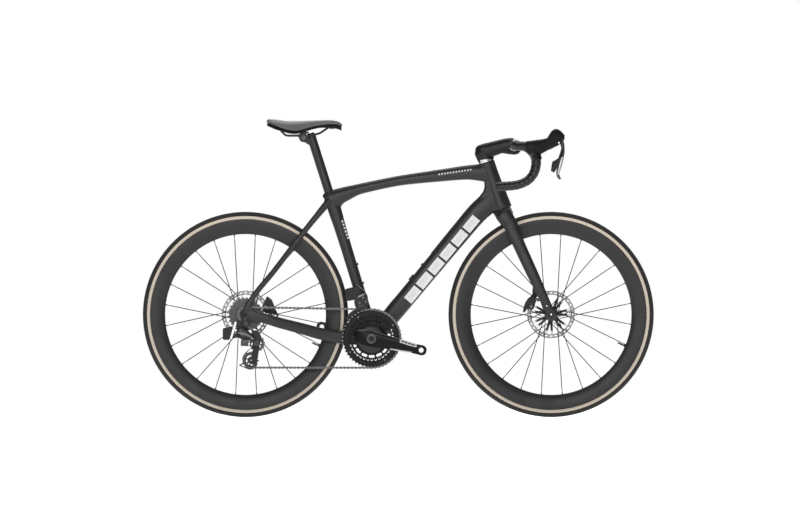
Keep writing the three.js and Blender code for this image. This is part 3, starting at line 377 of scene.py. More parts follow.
def section(c, u, v, a, b, sides, power):
    """A superellipse round c, reaching a along u and b along v."""
    points = []
    for i in range(sides):
        t = (i + 0.5) / sides * TAU
        cos, sin = math.cos(t), math.sin(t)
        cu = math.copysign(abs(cos) ** (2 / power), cos) * a
        sv = math.copysign(abs(sin) ** (2 / power), sin) * b
        points.append(c + u * cu + v * sv)
    return points


def skin(rings):
    """Vertices and faces through rings of equally many points, closed at both ends."""
    sides, count = len(rings[0]), len(rings)
    verts = [p for ring in rings for p in ring]
    faces = []
    for i in range(count - 1):
        for j in range(sides):
            k = (j + 1) % sides
            a, b = i * sides, (i + 1) * sides
            faces.append((a + j, a + k, b + k, b + j))
    faces.append(tuple(range(sides)))
    faces.append(tuple(range((count - 1) * sides, count * sides)))
    return verts, faces


def loft(name, stations, material, sides=40, power=2.4, per=8):
    """Stations are (x, y, z, half-height in the side plane, half-width across)."""
    rows = spline(stations, per)
    centres = [Vector(r[:3]) for r in rows]
    rings = []
    for i, row in enumerate(rows):
        along = centres[min(i + 1, len(rows) - 1)] - centres[max(i - 1, 0)]
        along.normalize()
        v = (ACROSS - along * along.y).normalized()
        u = v.cross(along).normalized()
        rings.append(section(centres[i], u, v, row[3], row[4], sides, power))
    return to_object(name, *skin(rings), material, 40)


def sweep(name, points, radius, material, sides=16, per=0, flat=1.0):
    """A tube along points, without twisting; radius may be a function of (i, angle)."""
    line = [Vector(p) for p in (spline([tuple(p) for p in points], per) if per else points)]
    u = UP
    first = (line[1] - line[0]).normalized()
    if abs(u.dot(first)) > 0.9:
        u = AHEAD
    rings = []
    for i, p in enumerate(line):
        along = (line[min(i + 1, len(line) - 1)] - line[max(i - 1, 0)]).normalized()
        u = (u - along * u.dot(along)).normalized()
        v = along.cross(u)
        ring = []
        for j in range(sides):
            t = j / sides * TAU
            r = radius(i, t) if callable(radius) else radius
            ring.append(p + u * math.cos(t) * r + v * math.sin(t) * r * flat)
        rings.append(ring)
    return to_object(name, *skin(rings), material, 45)


def lathe(name, profile, material, segments=96, auto=30, at=(0, 0, 0)):
    """A profile of (radius, y) turned about the Y axis through at, where the object's origin is."""
    verts, faces = [], []
    n = len(profile)
    for i in range(segments):
        t = (i + 0.5) / segments * TAU
        for r, y in profile:
            verts.append(Vector((r * math.cos(t), y, r * math.sin(t))))
    for i in range(segments):
        a, b = i * n, ((i + 1) % segments) * n
        for j in range(n):
            k = (j + 1) % n
            faces.append((a + j, a + k, b + k, b + j))
    obj = to_object(name, verts, faces, material, auto)
    obj.location = Vector(at) * MM
    return obj


def sided(side, rows):
    """The left side's stations, or with side = -1 the same ones on the right."""
    return [(x, side * y, *rest) for x, y, *rest in rows]


def polar(r, t, x=0.0, z=0.0):
    """The point of the side plane at distance r from (x, z), in the direction t."""
    return (x + r * math.cos(t), z + r * math.sin(t))


def circle(x, z, r, n):
    return [polar(r, i / n * TAU, x, z) for i in range(n)]


def arc(x, z, r, t0, t1, n):
    """Points n steps round an arc about (x, z), between two angles in radians."""
    return [polar(r, t0 + (t1 - t0) * i / n, x, z) for i in range(n + 1)]


def arc_band(at, r0, r1, t0, t1, n):
    """A band about a point, between two radii and two angles in degrees."""
    t0, t1 = math.radians(t0), math.radians(t1)
    return arc(at.x, at.z, r1, t0, t1, n) + arc(at.x, at.z, r0, t1, t0, n)


def plate(name, outline, y0, y1, material, holes=(), bevel=0.25):
    """A flat plate in the side plane, from outlines of (x, z), with softened edges."""
    curve = bpy.data.curves.new(name, "CURVE")
    curve.dimensions = "2D"
    curve.fill_mode = "BOTH"
    curve.bevel_depth = bevel * MM
    curve.bevel_resolution = 1
    curve.offset = -bevel * MM
    curve.extrude = (abs(y1 - y0) / 2 - bevel) * MM
    for loop in (outline, *holes):
        s = curve.splines.new("POLY")
        s.points.add(len(loop) - 1)
        for point, (x, z) in zip(s.points, loop):
            point.co = (x * MM, z * MM, 0, 1)
        s.use_cyclic_u = True
    source = put(name + "_curve", curve)
    mesh = mesh_of(source)
    bpy.data.objects.remove(source)
    mesh.name = name
    mesh.transform(Matrix.Rotation(math.pi / 2, 4, "X"))
    mesh.transform(Matrix.Translation((0, (y0 + y1) / 2 * MM, 0)))
    mesh.materials.clear()
    return finished(name, mesh, material, 30)


def rod(name, a, b, r, material, sides=24, r2=None):
    """A rod from a to b, which tapers from r to r2 if asked."""
    a, b = Vector(a), Vector(b)
    r2 = r if r2 is None else r2
    steps = [a, a.lerp(b, 0.001), b.lerp(a, 0.001), b]
    radii = [r, r, r2, r2]
    return sweep(name, steps, lambda i, t: radii[i], material, sides)


def drum(name, x, z, r, y0, y1, material, bevel=0.5, sides=48, bore=0):
    """A cylinder across the bicycle with chamfered rims, bored through if asked."""
    low, high = min(y0, y1), max(y0, y1)
    bevel = min(bevel, (high - low) / 3)
    outer = [(r - bevel, low), (r, low + bevel), (r, high - bevel), (r - bevel, high)]
    inner = [(bore, high), (bore, low)] if bore else [(0.02, high), (0.02, low)]
    return lathe(name, outer + inner, material, sides, at=(x, 0, z))


def block(name, x0, x1, y0, y1, z0, z1, material, bevel=1.5, turn=0.0):
    """A box with rounded edges, turned about the Y axis through its middle."""
    bm = bmesh.new()
    bmesh.ops.create_cube(bm, size=1)
    size = Vector((x1 - x0, y1 - y0, z1 - z0))
    bmesh.ops.scale(bm, vec=size, verts=bm.verts)
    bmesh.ops.bevel(
        bm, geom=bm.edges[:] + bm.verts[:], offset=bevel, segments=3, profile=0.6, affect="EDGES",
    )
    bmesh.ops.rotate(bm, verts=bm.verts, cent=(0, 0, 0), matrix=Matrix.Rotation(turn, 3, "Y"))
    middle = Vector((x0 + x1, y0 + y1, z0 + z1)) / 2
    bmesh.ops.translate(bm, verts=bm.verts, vec=middle)
    bmesh.ops.scale(bm, verts=bm.verts, vec=(MM, MM, MM))
    return finished(name, from_bmesh(name, bm), material, 50)


def bake(obj, *modifiers):
    """Adds modifiers as (type, settings) and applies them."""
    for kind, settings in modifiers:
        made = obj.modifiers.new(kind.lower(), kind)
        for key, value in settings.items():
            setattr(made, key, value)
    result = mesh_of(obj)
    old = obj.data
    obj.modifiers.clear()
    obj.data = result
    bpy.data.meshes.remove(old)
    return obj


def join(name, pieces, auto=None):
    """Several objects as one, whose origin is the world's."""
    bm = bmesh.new()
    materials = []
    for piece in pieces:
        mesh = piece.data.copy()
        mesh.transform(piece.matrix_basis)
        offset = []
        for m in piece.data.materials:
            if m not in materials:
                materials.append(m)
            offset.append(materials.index(m))
        index = [offset[p.material_index] if offset else 0 for p in mesh.polygons]
        mesh.polygons.foreach_set("material_index", index)
        bm.from_mesh(mesh)
        bpy.data.meshes.remove(mesh)
    mesh = from_bmesh(name, bm)
    for m in materials:
        mesh.materials.append(m)
    for piece in pieces:
        bpy.data.objects.remove(piece)
    if auto:
        sharpen(mesh, auto)
    return put(name, mesh)


def fused(name, parts, material, voxel=1.6, relax=14):
    """Lofts melted into one moulded skin with soft fillets."""
    obj = join(name, parts)
    bake(
        obj, ("REMESH", {"mode": "VOXEL", "voxel_size": voxel * MM, "adaptivity": 0}),
        ("SMOOTH", {"factor": 0.5, "iterations": relax}),
    )
    obj.data.materials.clear()
    obj.data.materials.append(MAT[material])
    smooth(obj.data)
    return obj


def piece(obj, body, slot, *nodes):
    """Puts a finished object on its body, instead of the CAD nodes that it stands for."""
    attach(obj, body)
    if nodes:
        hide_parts(*nodes)
    return obj


# ---------------------------------------------------------------- camera, floor and light


CAMERA_FAR = 60
LENS_PER_METRE = 162.1 / 12


def studio():
    camera = put("camera", bpy.data.cameras.new("camera"))
    camera.data.sensor_width = 36
    camera.data.lens = LENS_PER_METRE * CAMERA_FAR
    camera.location = (0.0056, -CAMERA_FAR, 0.5302)
    camera.rotation_euler = (math.pi / 2, 0, 0)
    camera.data.clip_end = 500
    bpy.context.scene.camera = camera

    ground = bpy.data.meshes.new("floor")
    r = 90
    corners = [(-r, -r, 0), (r, -r, 0), (r, r, 0), (-r, r, 0)]
    ground.from_pydata(corners, [], [(0, 1, 2, 3)])
    floor = put("floor", ground)
    m = Nodes("studio_floor", (0.8, 0.8, 0.8), 0.9, 0.0, Emission_Strength=0.81)
    m.bsdf.inputs["Emission Color"].default_value = (1, 1, 1, 1)
    m.colour(m.mix(m.noise(3, 2), (0.79, 0.79, 0.79), (0.81, 0.81, 0.81)))
    ground.materials.append(m.mat)

    world = bpy.data.worlds.new("studio")
    bpy.context.scene.world = world
    world.use_nodes = True
    tree = world.node_tree
    soft = tree.nodes["Background"]
    soft.inputs["Color"].default_value = (1, 1, 1, 1)
    soft.inputs["Strength"].default_value = 0.24
    backdrop = tree.nodes.new("ShaderNodeBackground")
    backdrop.inputs["Color"].default_value = (1, 1, 1, 1)
    backdrop.inputs["Strength"].default_value = 1.0
    seen = tree.nodes.new("ShaderNodeLightPath")
    blend = tree.nodes.new("ShaderNodeMixShader")
    tree.links.new(seen.outputs["Is Camera Ray"], blend.inputs[0])
    tree.links.new(soft.outputs[0], blend.inputs[1])
    tree.links.new(backdrop.outputs[0], blend.inputs[2])
    tree.links.new(blend.outputs[0], tree.nodes["World Output"].inputs["Surface"])

    def area(name, at, size, power):
        """A rectangular lamp that faces the middle of the bicycle."""
        light = bpy.data.lights.new(name, "AREA")
        light.shape = "RECTANGLE"
        light.size, light.size_y = size
        light.energy = power
        obj = put(name, light)
        obj.location = at
        obj.rotation_euler = (Vector((0, 0, 0.5)) - Vector(at)).to_track_quat("-Z", "Y").to_euler()

    area("key", (-0.5, -5.5, 1.6), (3.2, 1.2), 82)
    area("top", (0, 0.5, 4.2), (5, 2.5), 120)
    area("back", (1.5, 4.5, 3.0), (4, 2), 80)
    bpy.context.scene.view_settings.view_transform = "Standard"


studio()

# ---------------------------------------------------------------- frame


DOWN_SLOPE = 50.4


def frame_material():
    """Satin carbon with white blocks on the down tube and small dashes on two other tubes."""
    m = satin_carbon("frame_finish", 0.0165)
    base = m.bsdf.inputs["Base Color"].links[0].from_socket
    split = m.node("SeparateXYZ")
    m.link(m.node("NewGeometry").outputs["Normal"], split.inputs[0])
    sideways = m.more(m.math("ABSOLUTE", split.outputs[1]), 0.3)

    def marks(x, z, slope, length, half, pitch, duty, slant=0.0):
        """Blocks along a line from (x, z) that rises at slope degrees, leaning by slant."""
        along, across = m.line(x, z, math.radians(slope))
        skewed = m.math("MULTIPLY_ADD", across, -slant, along)
        inside = m.between(skewed, 0.0, length * MM)
        narrow = m.less(m.math("ABSOLUTE", across), half * MM)
        phase = m.math("FRACT", m.math("DIVIDE", skewed, pitch * MM))
        bar = m.less(phase, duty)
        return m.times(m.times(inside, narrow), m.times(bar, sideways))

    bars = marks(31.5, 388.3, DOWN_SLOPE, 366, 16, 61, 0.87)
    upper = marks(33.7, 397.6, DOWN_SLOPE, 350, 1.6, 61, 0.52)
    lower = marks(39.5, 392.9, DOWN_SLOPE, 350, 1.6, 61, 0.52)
    bars = m.sub(bars, m.times(m.math("MAXIMUM", upper, lower), 0.16))
    top = marks(134, 808.5, 8.5, 115, 2.4, 9.6, 0.5, 0.3)
    seat = marks(-166.5, 594, 109, 70, 3.0, 11.6, 0.55)
    white = m.math("MAXIMUM", bars, m.math("MAXIMUM", top, seat))
    m.colour(m.mix(white, base, (0.7, 0.7, 0.7)))
    return m.mat


MAT["frame"] = frame_material()

HEAD_BOTTOM, HEAD_TOP = 384.5, 552.5


def build_frame():
    head = [
        (HEAD_BOTTOM - 0.4, 3, 33, 27.5), (HEAD_BOTTOM + 25, 3, 31.5, 27),
        ((HEAD_BOTTOM + HEAD_TOP) / 2, 2, 28, 23), (HEAD_TOP - 30, 1.5, 26.5, 23),
        (HEAD_TOP - 3.2, 1.5, 26.5, 23.5),
    ]
    rings = [
        section(steer(s, n), STEER_AHEAD, ACROSS, a, b, 48, 2.15) for s, n, a, b in spline(head, 8)
    ]
    parts = [to_object("head", *skin(rings), "frame")]
    top = [
        (-242, 0, 719, 20, 17), (-232, 0, 725, 25.5, 20), (-209, 0, 731, 28, 22),
        (-185, 0, 740, 25.5, 21.5), (-161, 0, 749, 22, 21), (-138, 0, 757, 18.6, 20),
        (-100, 0, 766.5, 17.3, 19), (6, 0, 788, 17, 19), (140, 0, 805, 20.6, 20),
        (231, 0, 815, 24.5, 20.5), (292, 0, 814, 31, 20.5),
    ]
    parts.append(loft("top", top, "frame", power=2.7))
    down = [
        (-85, 0, 262, 26, 27), (-46, 0, 309.8, 28.8, 28), (-4.9, 0, 359.3, 30.8, 28),
        (104.1, 0, 490.8, 32, 27.5), (214.1, 0, 623.2, 33.8, 26.5), (262, 0, 679, 35, 25),
        (302, 0, 716, 36, 22.8), (322, 0, 740, 33.5, 21), (342, 0, 764, 27, 17.5),
    ]
    parts.append(loft("down", down, "frame", power=2.9))
    web = [
        (286, 790), (330, 812), (352, 720), (362, 690), (330, 682), (292, 690), (262, 700),
        (272, 738), (283, 752), (287, 768),
    ]
    parts.append(plate("web", web, -20, 20, "frame", bevel=7))
    web = [
        (-152, 246), (-154, 290), (-152, 325), (-141, 345), (-120, 354), (-104, 348), (-92, 340),
        (-78, 338), (-62, 340), (-44, 348), (-30, 330), (-58, 268), (-86, 242),
    ]
    parts.append(plate("web", web, -19, 19, "frame", bevel=7))
    seat = [
        (262, 21, 21), (340, 19.5, 19), (450, 18.6, 18), (560, 19, 17.8), (640, 20.4, 18),
        (690, 22.6, 18.2), (751, 20, 17.8),
    ]
    parts.append(
        loft("seat", [(seat_line(z).x, 0, z, a, b) for z, a, b in seat], "frame", power=2.25)
    )
    gusset = [
        (-206, 0, 706, 14, 12), (-185, 0, 728, 14, 14), (-162, 0, 743, 12, 15),
        (-140, 0, 751, 10, 15),
    ]
    parts.append(loft("seat_gusset", gusset, "frame", power=2.2))
    parts.append(drum("shell", BB.x, BB.z, 26.5, -39.8, 39.8, "frame", 2))
    stay = [
        (REAR.x + 2, 74.6, 341, 17, 3.4), (-480, 74.2, 336.5, 16.4, 3.8),
        (-440, 70.5, 327.5, 17, 6.4), (-397, 63.5, 314.8, 17.8, 7.4), (-325, 50, 296, 19, 8),
        (-252, 37.5, 276.5, 20.2, 8), (-185, 29.8, 265.5, 21.5, 8), (-140, 27, 262.5, 22, 9),
        (-100, 24, 262, 22, 10),
    ]
    upper = [
        (-216, 12, 732, 14, 7), (-241, 18, 707, 12.2, 7.6), (-274, 25.5, 667, 10.4, 7),
        (-309, 30.5, 624, 9.6, 6.6), (-358, 39, 560.5, 9.2, 6.2), (-413, 53, 488, 9.3, 5.8),
        (-462, 65.8, 429, 9.4, 5), (-484, 71.8, 399, 9.8, 4.4), (-499, 74.2, 372, 11.5, 3.8),
        (-506, 74.4, 350, 14, 3.6),
    ]
    end = [
        (-519, 330), (-518, 346), (-514, 360), (-507, 376), (-494, 390), (-488, 376), (-488, 364),
        (-480, 355), (-466, 347), (-452, 340), (-452, 320), (-472, 319), (-495, 321), (-508, 318),
    ]
    for side in (-1, 1):
        parts.append(loft("stay", sided(side, stay), "frame", power=2.5))
        parts.append(loft("upper", sided(side, upper), "frame", power=2.4))
        parts.append(plate("end", end, *sorted((side * 71.4, side * 77.4)), "frame", bevel=1.5))
    shell = fused("frame_shell", parts, "frame", 1.7, 16)
    carve(shell, drum("axle_hole", REAR.x, REAR.z, 6.4, -90, 90, "frame", 0.2, 40))
    slot = tube_block("slot", 19.7, 216.3, 25, 60, 13.3, "frame", 1.5)
    carve(shell, slot)
    return shell


def carve(target, cutter):
    """Cuts one closed mesh out of another and drops the cutter."""
    made = target.modifiers.new("carve", "BOOLEAN")
    made.object = cutter
    made.operation = "DIFFERENCE"
    made.solver = "MANIFOLD"
    bake(target)
    bpy.data.objects.remove(cutter)
    sharpen(target.data, 50)


DOWN_FOOT, DOWN_X, DOWN_Z = (-4, 358.5), 0.6388, 0.7694


def down_tube_point(along, up, y=0.0):
    """A point by its distance along the down tube's centre line, from its foot, and above it."""
    x, z = DOWN_FOOT
    return Vector((x + DOWN_X * along - DOWN_Z * up, y, z + DOWN_Z * along + DOWN_X * up))


def tube_block(name, a0, a1, low, high, half, material, bevel):
    """A rounded block in the down tube's own frame."""
    slope = math.atan2(DOWN_Z, DOWN_X)
    middle = down_tube_point((a0 + a1) / 2, (low + high) / 2)
    a, h = (a1 - a0) / 2, (high - low) / 2
    made = block(name, -a, a, -half, half, -h, h, material, bevel, -slope)
    made.data.transform(Matrix.Translation(middle * MM))
    return made


piece(
    build_frame(), "frame", "carbon", "frame", "right_chainstay", "left_chainstay",
    "right_seatstay", "left_seatstay",
)


def build_frame_details():
    hanger = plate("hanger", [
        (-520, 331), (-515, 333.5), (-503, 333.5), (-498, 331), (-498, 318), (-499, 305),
        (-505, 302), (-512, 302), (-518, 306), (-520, 318),
    ], -77.3, -71.5, "black_alloy", bevel=0.8)
    bolts = []
    for x, z in ((119, 821), (180, 829.5)):
        bolts.append(rod("bolt", (x, 0, z - 4), (x + 0.3, 0, z + 2.2), 4.2, "black_alloy", 24, 3.2))
    forward = Vector((SEAT_AXIS.z, 0, -SEAT_AXIS.x))
    for z in (504.5, 441.5):
        base = seat_line(z) + forward * 16
        bolts.append(rod("bolt", base, base + forward * 6.8, 4.4, "black_alloy", 24, 3.6))
    wedge = rod("wedge", (-243, 0, 717), (-238, 0, 742), 5, "black_alloy", 20, 4)
    hose = [(-392, 50, 312), (-400, 55, 318), (-412, 55, 328), (-425, 55.7, 344)]
    bolts.append(sweep("hose", hose, 2.5, "rubber", 12, 6))
    seal = rod("seal", steer(HEAD_BOTTOM - 3, 2), steer(HEAD_BOTTOM + 4, 2), 26.5, "plastic", 48)
    return join("frame_fittings", [hanger, wedge, seal, *bolts])


piece(build_frame_details(), "frame", "black_alloy")


def build_fork():
    legs = []
    for side in (-1, 1):
        line = [
            (372, -1, 27, 28, 13), (350, 5, 30, 27, 12), (325, 12, 33, 24.5, 9.5),
            (298, 14, 37, 23, 9), (252, 19, 41, 20.5, 8.5), (198, 25, 45.5, 20, 8),
            (124, 34, 51, 18.6, 6.5), (52, 42.5, 54.2, 15.9, 4.2), (4, 47.4, 54.2, 15.6, 3.7),
        ]
        rows = []
        for s, n, y, a, b in line:
            p = steer(s, n, side * y)
            rows.append((p.x, p.y, p.z, a, b))
        legs.append(loft("leg", rows, "carbon", power=2.3))
        legs.append(
            drum("end", FRONT.x, FRONT.z, 18.4, side * 50.4, side * 58.2, "carbon", 3, bore=6.4)
        )
    top = HEAD_BOTTOM + 0.1
    crown = [(top, 0, 31, 28), (top - 10, 1, 31, 33), (top - 20, 3, 30, 38), (top - 28, 5, 27, 39)]
    rings = [
        section(steer(s, n), STEER_AHEAD, ACROSS, a, b, 48, 2.25) for s, n, a, b in spline(crown, 5)
    ]
    legs.append(to_object("crown", *skin(rings), "carbon"))
    fork = fused("fork_shell", legs, "carbon", 1.6, 14)
    carve(fork, drum("arch", FRONT.x, FRONT.z, 349, -21, 21, "carbon", 4, 160))
    return fork


piece(build_fork(), "steering", "carbon", "fork")

# ---------------------------------------------------------------- wheels

SPOKE_FIRST, SPOKE_STEP = 8, 15
SPOKES = 24
RIM_INNER = 267.5
FRONT_FLANGE, REAR_FLANGE = 21, 24.6
FRONT_TANGENT, REAR_TANGENT = 18.6, 21.8
VALVE_TURN = -67


def at_axle(obj, axle, body, slot, *nodes):
    """Turning parts are built about the origin, so their patterns turn with them."""
    obj.location = Vector((axle.x, 0, axle.z)) * MM
    return piece(obj, body, slot, *nodes)


def slot_hole(r, angle, length, width):
    """A rounded slot along an arc of radius r."""
    half, w = length / 2 / r, width / 2
    start, end = angle - half, angle + half
    out = arc(0, 0, r + w, start, end, 4)
    out += arc(*polar(r, end), w, end, end + math.pi, 5)[1:-1]
    out += arc(0, 0, r - w, end, start, 4)
    out += arc(*polar(r, start), w, start + math.pi, start + TAU, 5)[1:-1]
    return out


def at_y(y, point):
    """A point of the side plane, moved across the bicycle to y."""
    x, z = point
    return (x, y, z)


def build_wheel(name, axle, body, left, right, rotor_y, half):
    section_ = [
        (313.5, -9), (316.9, -12.4), (320.5, -14.6), (326, -15.9), (331.5, -15.2), (336.5, -12.4),
        (340.3, -7.6), (342, 0),
    ]
    half_outer = spline(section_, 5)
    outer = half_outer + [(r, -y) for r, y in reversed(half_outer[:-1])]
    inner = [(316, 9), (326, 12.6), (335, 8), (338, 0), (335, -8), (326, -12.6), (316, -9)]
    tyre = lathe(name + "_tyre_skin", outer + inner, "tyre", 192, auto=50)
    at_axle(tyre, axle, body, "tyre", name + "_tyre")

    wall = spline(
        [
            (267.5, 0), (268.3, 3.2), (271.5, 6), (280, 9.8), (295, 13), (308, 14), (314, 14.1),
            (317.3, 13.8),
        ],
        5,
    )
    bed = [(317.4, 12.6), (313, 10.2), (311, 9.4), (306, 6), (305, 0)]
    sided = wall + bed
    rim_profile = sided + [(r, -y) for r, y in reversed(sided[1:-1])]
    rim = lathe(name + "_rim_skin", rim_profile, "rim_carbon", 192, auto=50)
    at_axle(rim, axle, body, "rim_carbon", name + "_rim")

    spokes = []
    for i in range(SPOKES):
        side = -1 if i % 2 == 0 else 1
        flange = right if side < 0 else left
        lean = -1 if i % 4 < 2 else 1
        at_rim = math.radians(SPOKE_FIRST + SPOKE_STEP * i)
        tangent = REAR_TANGENT if name == "rear" else FRONT_TANGENT
        at_hub = at_rim + lean * math.acos(tangent / RIM_INNER)
        a = Vector(at_y(side * 3.2, polar(RIM_INNER, at_rim)))
        b = Vector(at_y(side * flange, polar(tangent, at_hub)))
        along = (b - a).normalized()
        start = a - along * 2
        flat = along.cross(ACROSS).normalized()
        thin = along.cross(flat).normalized()
        rings = []
        for t, w, d in (
            (0, 1.15, 1.15), (0.05, 1.15, 1.15), (0.08, 1.5, 0.8), (0.88, 1.5, 0.8),
            (0.92, 1.1, 1.1), (1, 1.1, 1.1),
        ):
            rings.append(section(start.lerp(b, t), flat, thin, w, d, 10, 2.2))
        spokes.append(to_object("spoke", *skin(rings), "spoke", 60))
        spokes.append(rod("nipple", a + along * -3, a + along * 5.5, 2.1, "black_alloy", 12, 1.8))
        spokes.append(rod("head", b - along * 2.5, b + along * 1.5, 2.0, "black_alloy", 10))
    at_axle(
        join(name + "_spokes", spokes), axle, body, "dark_steel", name + "_right_spokes",
        name + "_left_spokes",
    )

    valve = [
        rod("valve", (0, 0, -RIM_INNER - 2), (0, 0, -RIM_INNER + 18), 2.9, "gloss_black", 16),
        rod("nut", (0, 0, -RIM_INNER - 1), (0, 0, -RIM_INNER + 3.2), 5.2, "gloss_black", 12),
        rod("cap", (0, 0, -RIM_INNER + 16), (0, 0, -RIM_INNER + 27), 3.1, "plastic", 14, 2.2),
    ]
    valve = join(name + "_valve", valve)
    valve.data.transform(Matrix.Rotation(math.radians(VALVE_TURN), 4, "Y"))
    at_axle(valve, axle, body, "plastic")

    # hub: a waisted shell with two flanges that carry the spoke heads
    end_right = -right - 4 if name == "rear" else -half + 0.4
    profile = [(6.45, end_right)]
    if name == "front":
        profile += [(10.3, -half + 0.4), (10.5, -half + 4), (12, -half + 6), (12, -right - 5)]
    else:
        profile += [(18.6, -right - 4)]
    rim = REAR_FLANGE if name == "rear" else FRONT_FLANGE
    profile += [
        (rim - 5, -right - 3.6), (rim - 1, -right - 2.4), (rim, -right - 1.4), (rim, -right + 1.6),
        (rim - 1, -right + 2.4), (rim - 4, -right + 4),
    ]
    profile += [
        (15.5, -right + 8), (13.2, -right + 14), (12.6, 0), (13.2, left - 14), (15.5, left - 8),
    ]
    profile += [
        (rim - 4, left - 4), (rim - 1, left - 2.4), (rim, left - 1.6), (rim, left + 1.4),
        (rim - 1, left + 2.4), (17.5, left + 3.6),
    ]
    profile += [
        (17, rotor_y - 1.6), (17, rotor_y + 3), (16, rotor_y + 4), (11, rotor_y + 5),
        (10.4, half - 0.4), (6.45, half - 0.4),
    ]
    hub = lathe(name + "_hub_shell", profile, "gloss_black", 64, auto=35)
    at_axle(hub, axle, body, "black_alloy", name + "_hub")

    track_holes = [slot_hole(72.4, k / 28 * TAU, 5.0, 4.4) for k in range(28)]
    outline = []
    for i in range(120):
        notch = 0.7 if (i // 2) % 5 == 0 else 0
        outline.append(polar(79.6 - notch, i / 120 * TAU))
    track = plate(
        "track", outline, rotor_y - 0.9, rotor_y + 0.9, "track_steel",
        [circle(0, 0, 65.5, 96), *track_holes], bevel=0.15,
    )
    arms = []
    for k in range(14):
        mid = math.radians(7 + 360 / 7 * (k // 2))
        turn = math.radians(8.5 if k % 2 else -8.5)
        for kind, reach, w, d, finish in (
            ("arm", (17, 38, 57), 4.0, 1.5, "gloss_black"),
            ("strut", (51, 60, 67.5), 2.4, 0.8, "steel"),
        ):
            rows = [(*at_y(rotor_y, polar(r, mid + turn)), w, d) for r in reach]
            arms.append(loft(kind, rows, finish, 16, 3, 4))
        x, z = polar(55, mid + turn)
        arms.append(drum("rivet", x, z, 2.5, rotor_y - 1.75, rotor_y + 1.75, "steel", 0.4, 20))
    for k in range(7):
        mid = math.radians(7 + 360 / 7 * k)
        root = ((17, 7), (26, 7.4), (33, 4))
        rows = [(*at_y(rotor_y, polar(r, mid)), w, 1.5) for r, w in root]
        arms.append(loft("root", rows, "gloss_black", 16, 3, 4))
    carrier = lathe("carrier", [
        (17.6, rotor_y - 1.6), (21, rotor_y - 1.6), (22, rotor_y), (21, rotor_y + 1.6),
        (17.6, rotor_y + 1.6),
    ], "gloss_black", 48)
    lock = lathe("lockring", [
        (8, rotor_y + 2), (20, rotor_y + 2), (20, rotor_y + 5), (17, rotor_y + 6), (8, rotor_y + 6),
    ], "black_alloy", 36)
    at_axle(
        join(name + "_rotor_disc", [track, carrier, lock, *arms]), axle, body, "steel",
        name + "_rotor",
    )


build_wheel("front", FRONT, "front_wheel", 24, 35, centre("front_rotor").y, 50)
build_wheel("rear", REAR, "rear_wheel", 35, 16, centre("rear_rotor").y, 71)


def build_axles():
    front = [
        drum("shaft", FRONT.x, FRONT.z, 5.9, -57.5, 58, "black_alloy", 0.5, 32, bore=3.4),
        drum("head", FRONT.x, FRONT.z, 8.6, 58, 60.5, "black_alloy", 0.8, 32, bore=3.4),
        drum("ring", FRONT.x, FRONT.z, 8.2, -58.6, -57.6, "black_alloy", 0.3, 32, bore=6),
    ]
    piece(join("front_axle_shaft", front), "steering", "black_alloy", "front_axle")
    piece(
        rod("fork_end_bolt", (494.4, -57, 370.7), (494.4, -59.6, 370.7), 2.6, "steel", 20),
        "steering", "black_alloy",
    )
    rear = [
        drum("shaft", REAR.x, REAR.z, 5.9, -77.2, 77.5, "black_alloy", 0.5, 32, bore=3.3),
        drum("head", REAR.x, REAR.z, 8.6, 77.6, 80.2, "black_alloy", 0.8, 32, bore=3.3),
        drum("ring", REAR.x, REAR.z, 7.4, -78, -77, "gloss_black", 0.3, 32, bore=3.2),
    ]
    piece(join("rear_axle_shaft", rear), "frame", "black_alloy", "rear_axle")


build_axles()

# ---------------------------------------------------------------- cockpit

BAR = Vector((384, 0, 904))
BAR_LINE = [
    (384, 0, 904), (384, 60, 904), (385, 120, 904), (389, 165, 904), (402, 192, 903),
    (424, 204, 900.6), (443, 207, 890), (456, 208, 868), (459, 209, 845), (454, 210, 819),
    (442, 211, 799), (424, 212, 784), (394, 213, 773), (357, 214, 769), (324, 215, 767),
]
TAPE_FROM, TAPE_STEP, TAPE_R, WRAP = 2, 1.1, 14.6, 17.0


def upright(name, rows, material, sides=32, power=2.3, per=6):
    """Sections that stand across the bicycle: (x, y, z, half-height, half-width)."""
    rings = [
        section(Vector(r[:3]), UP, ACROSS, r[3], r[4], sides, power) for r in spline(rows, per)
    ]
    return to_object(name, *skin(rings), material)


def even(points, step):
    """The same line with points a fixed distance apart."""
    line = [Vector(p) for p in points]
    out = [line[0]]
    for p in line[1:]:
        while (p - out[-1]).length >= step:
            out.append(out[-1] + (p - out[-1]).normalized() * step)
    return out


def build_stem():
    column = [
        (545.5, 0, 0.2, 24.6, 21.6), (551, -0.05, 0.4, 24.8, 21.8), (559.6, -0.2, 1.2, 28, 22.5),
        (570, -0.14, 0.4, 28, 22.5), (584, -0.05, -1, 27.5, 22.5), (597, 0, -2, 21, 18),
    ]
    rings = []
    for s, lift, n, a, b in spline(column, 6):
        ring = section(Vector((n, 0, 0)), AHEAD, ACROSS, a, b, 48, 2.4)
        rings.append([steer(s + lift * p.x, p.x, p.y) for p in ring])
    parts = [to_object("column", *skin(rings), "frame")]
    arm = [
        (256.4, 0, 888, 6, 8), (262, 0, 888.5, 14, 15), (276, 0, 888, 21.5, 20.5),
        (300, 0, 889.5, 26, 22.5), (330, 0, 898, 25, 22.5), (355, 0, 905.5, 23.2, 23),
        (374, 0, 908.5, 22.6, 24.5), (384, 0, 909, 21.5, 24.5),
    ]
    parts.append(upright("arm", arm, "frame", power=2.9))
    parts.append(drum("clamp", BAR.x, BAR.z, 22, -24, 24, "frame", 2))
    stem = fused("stem_shell", parts, "stem_carbon", 1.3, 12)
    carve(
        stem, block("front", BAR.x + 1, BAR.x + 60, -40, 40, BAR.z - 24, BAR.z + 22, "frame", 0.1),
    )
    return stem


piece(build_stem(), "steering", "black_alloy", "stem")


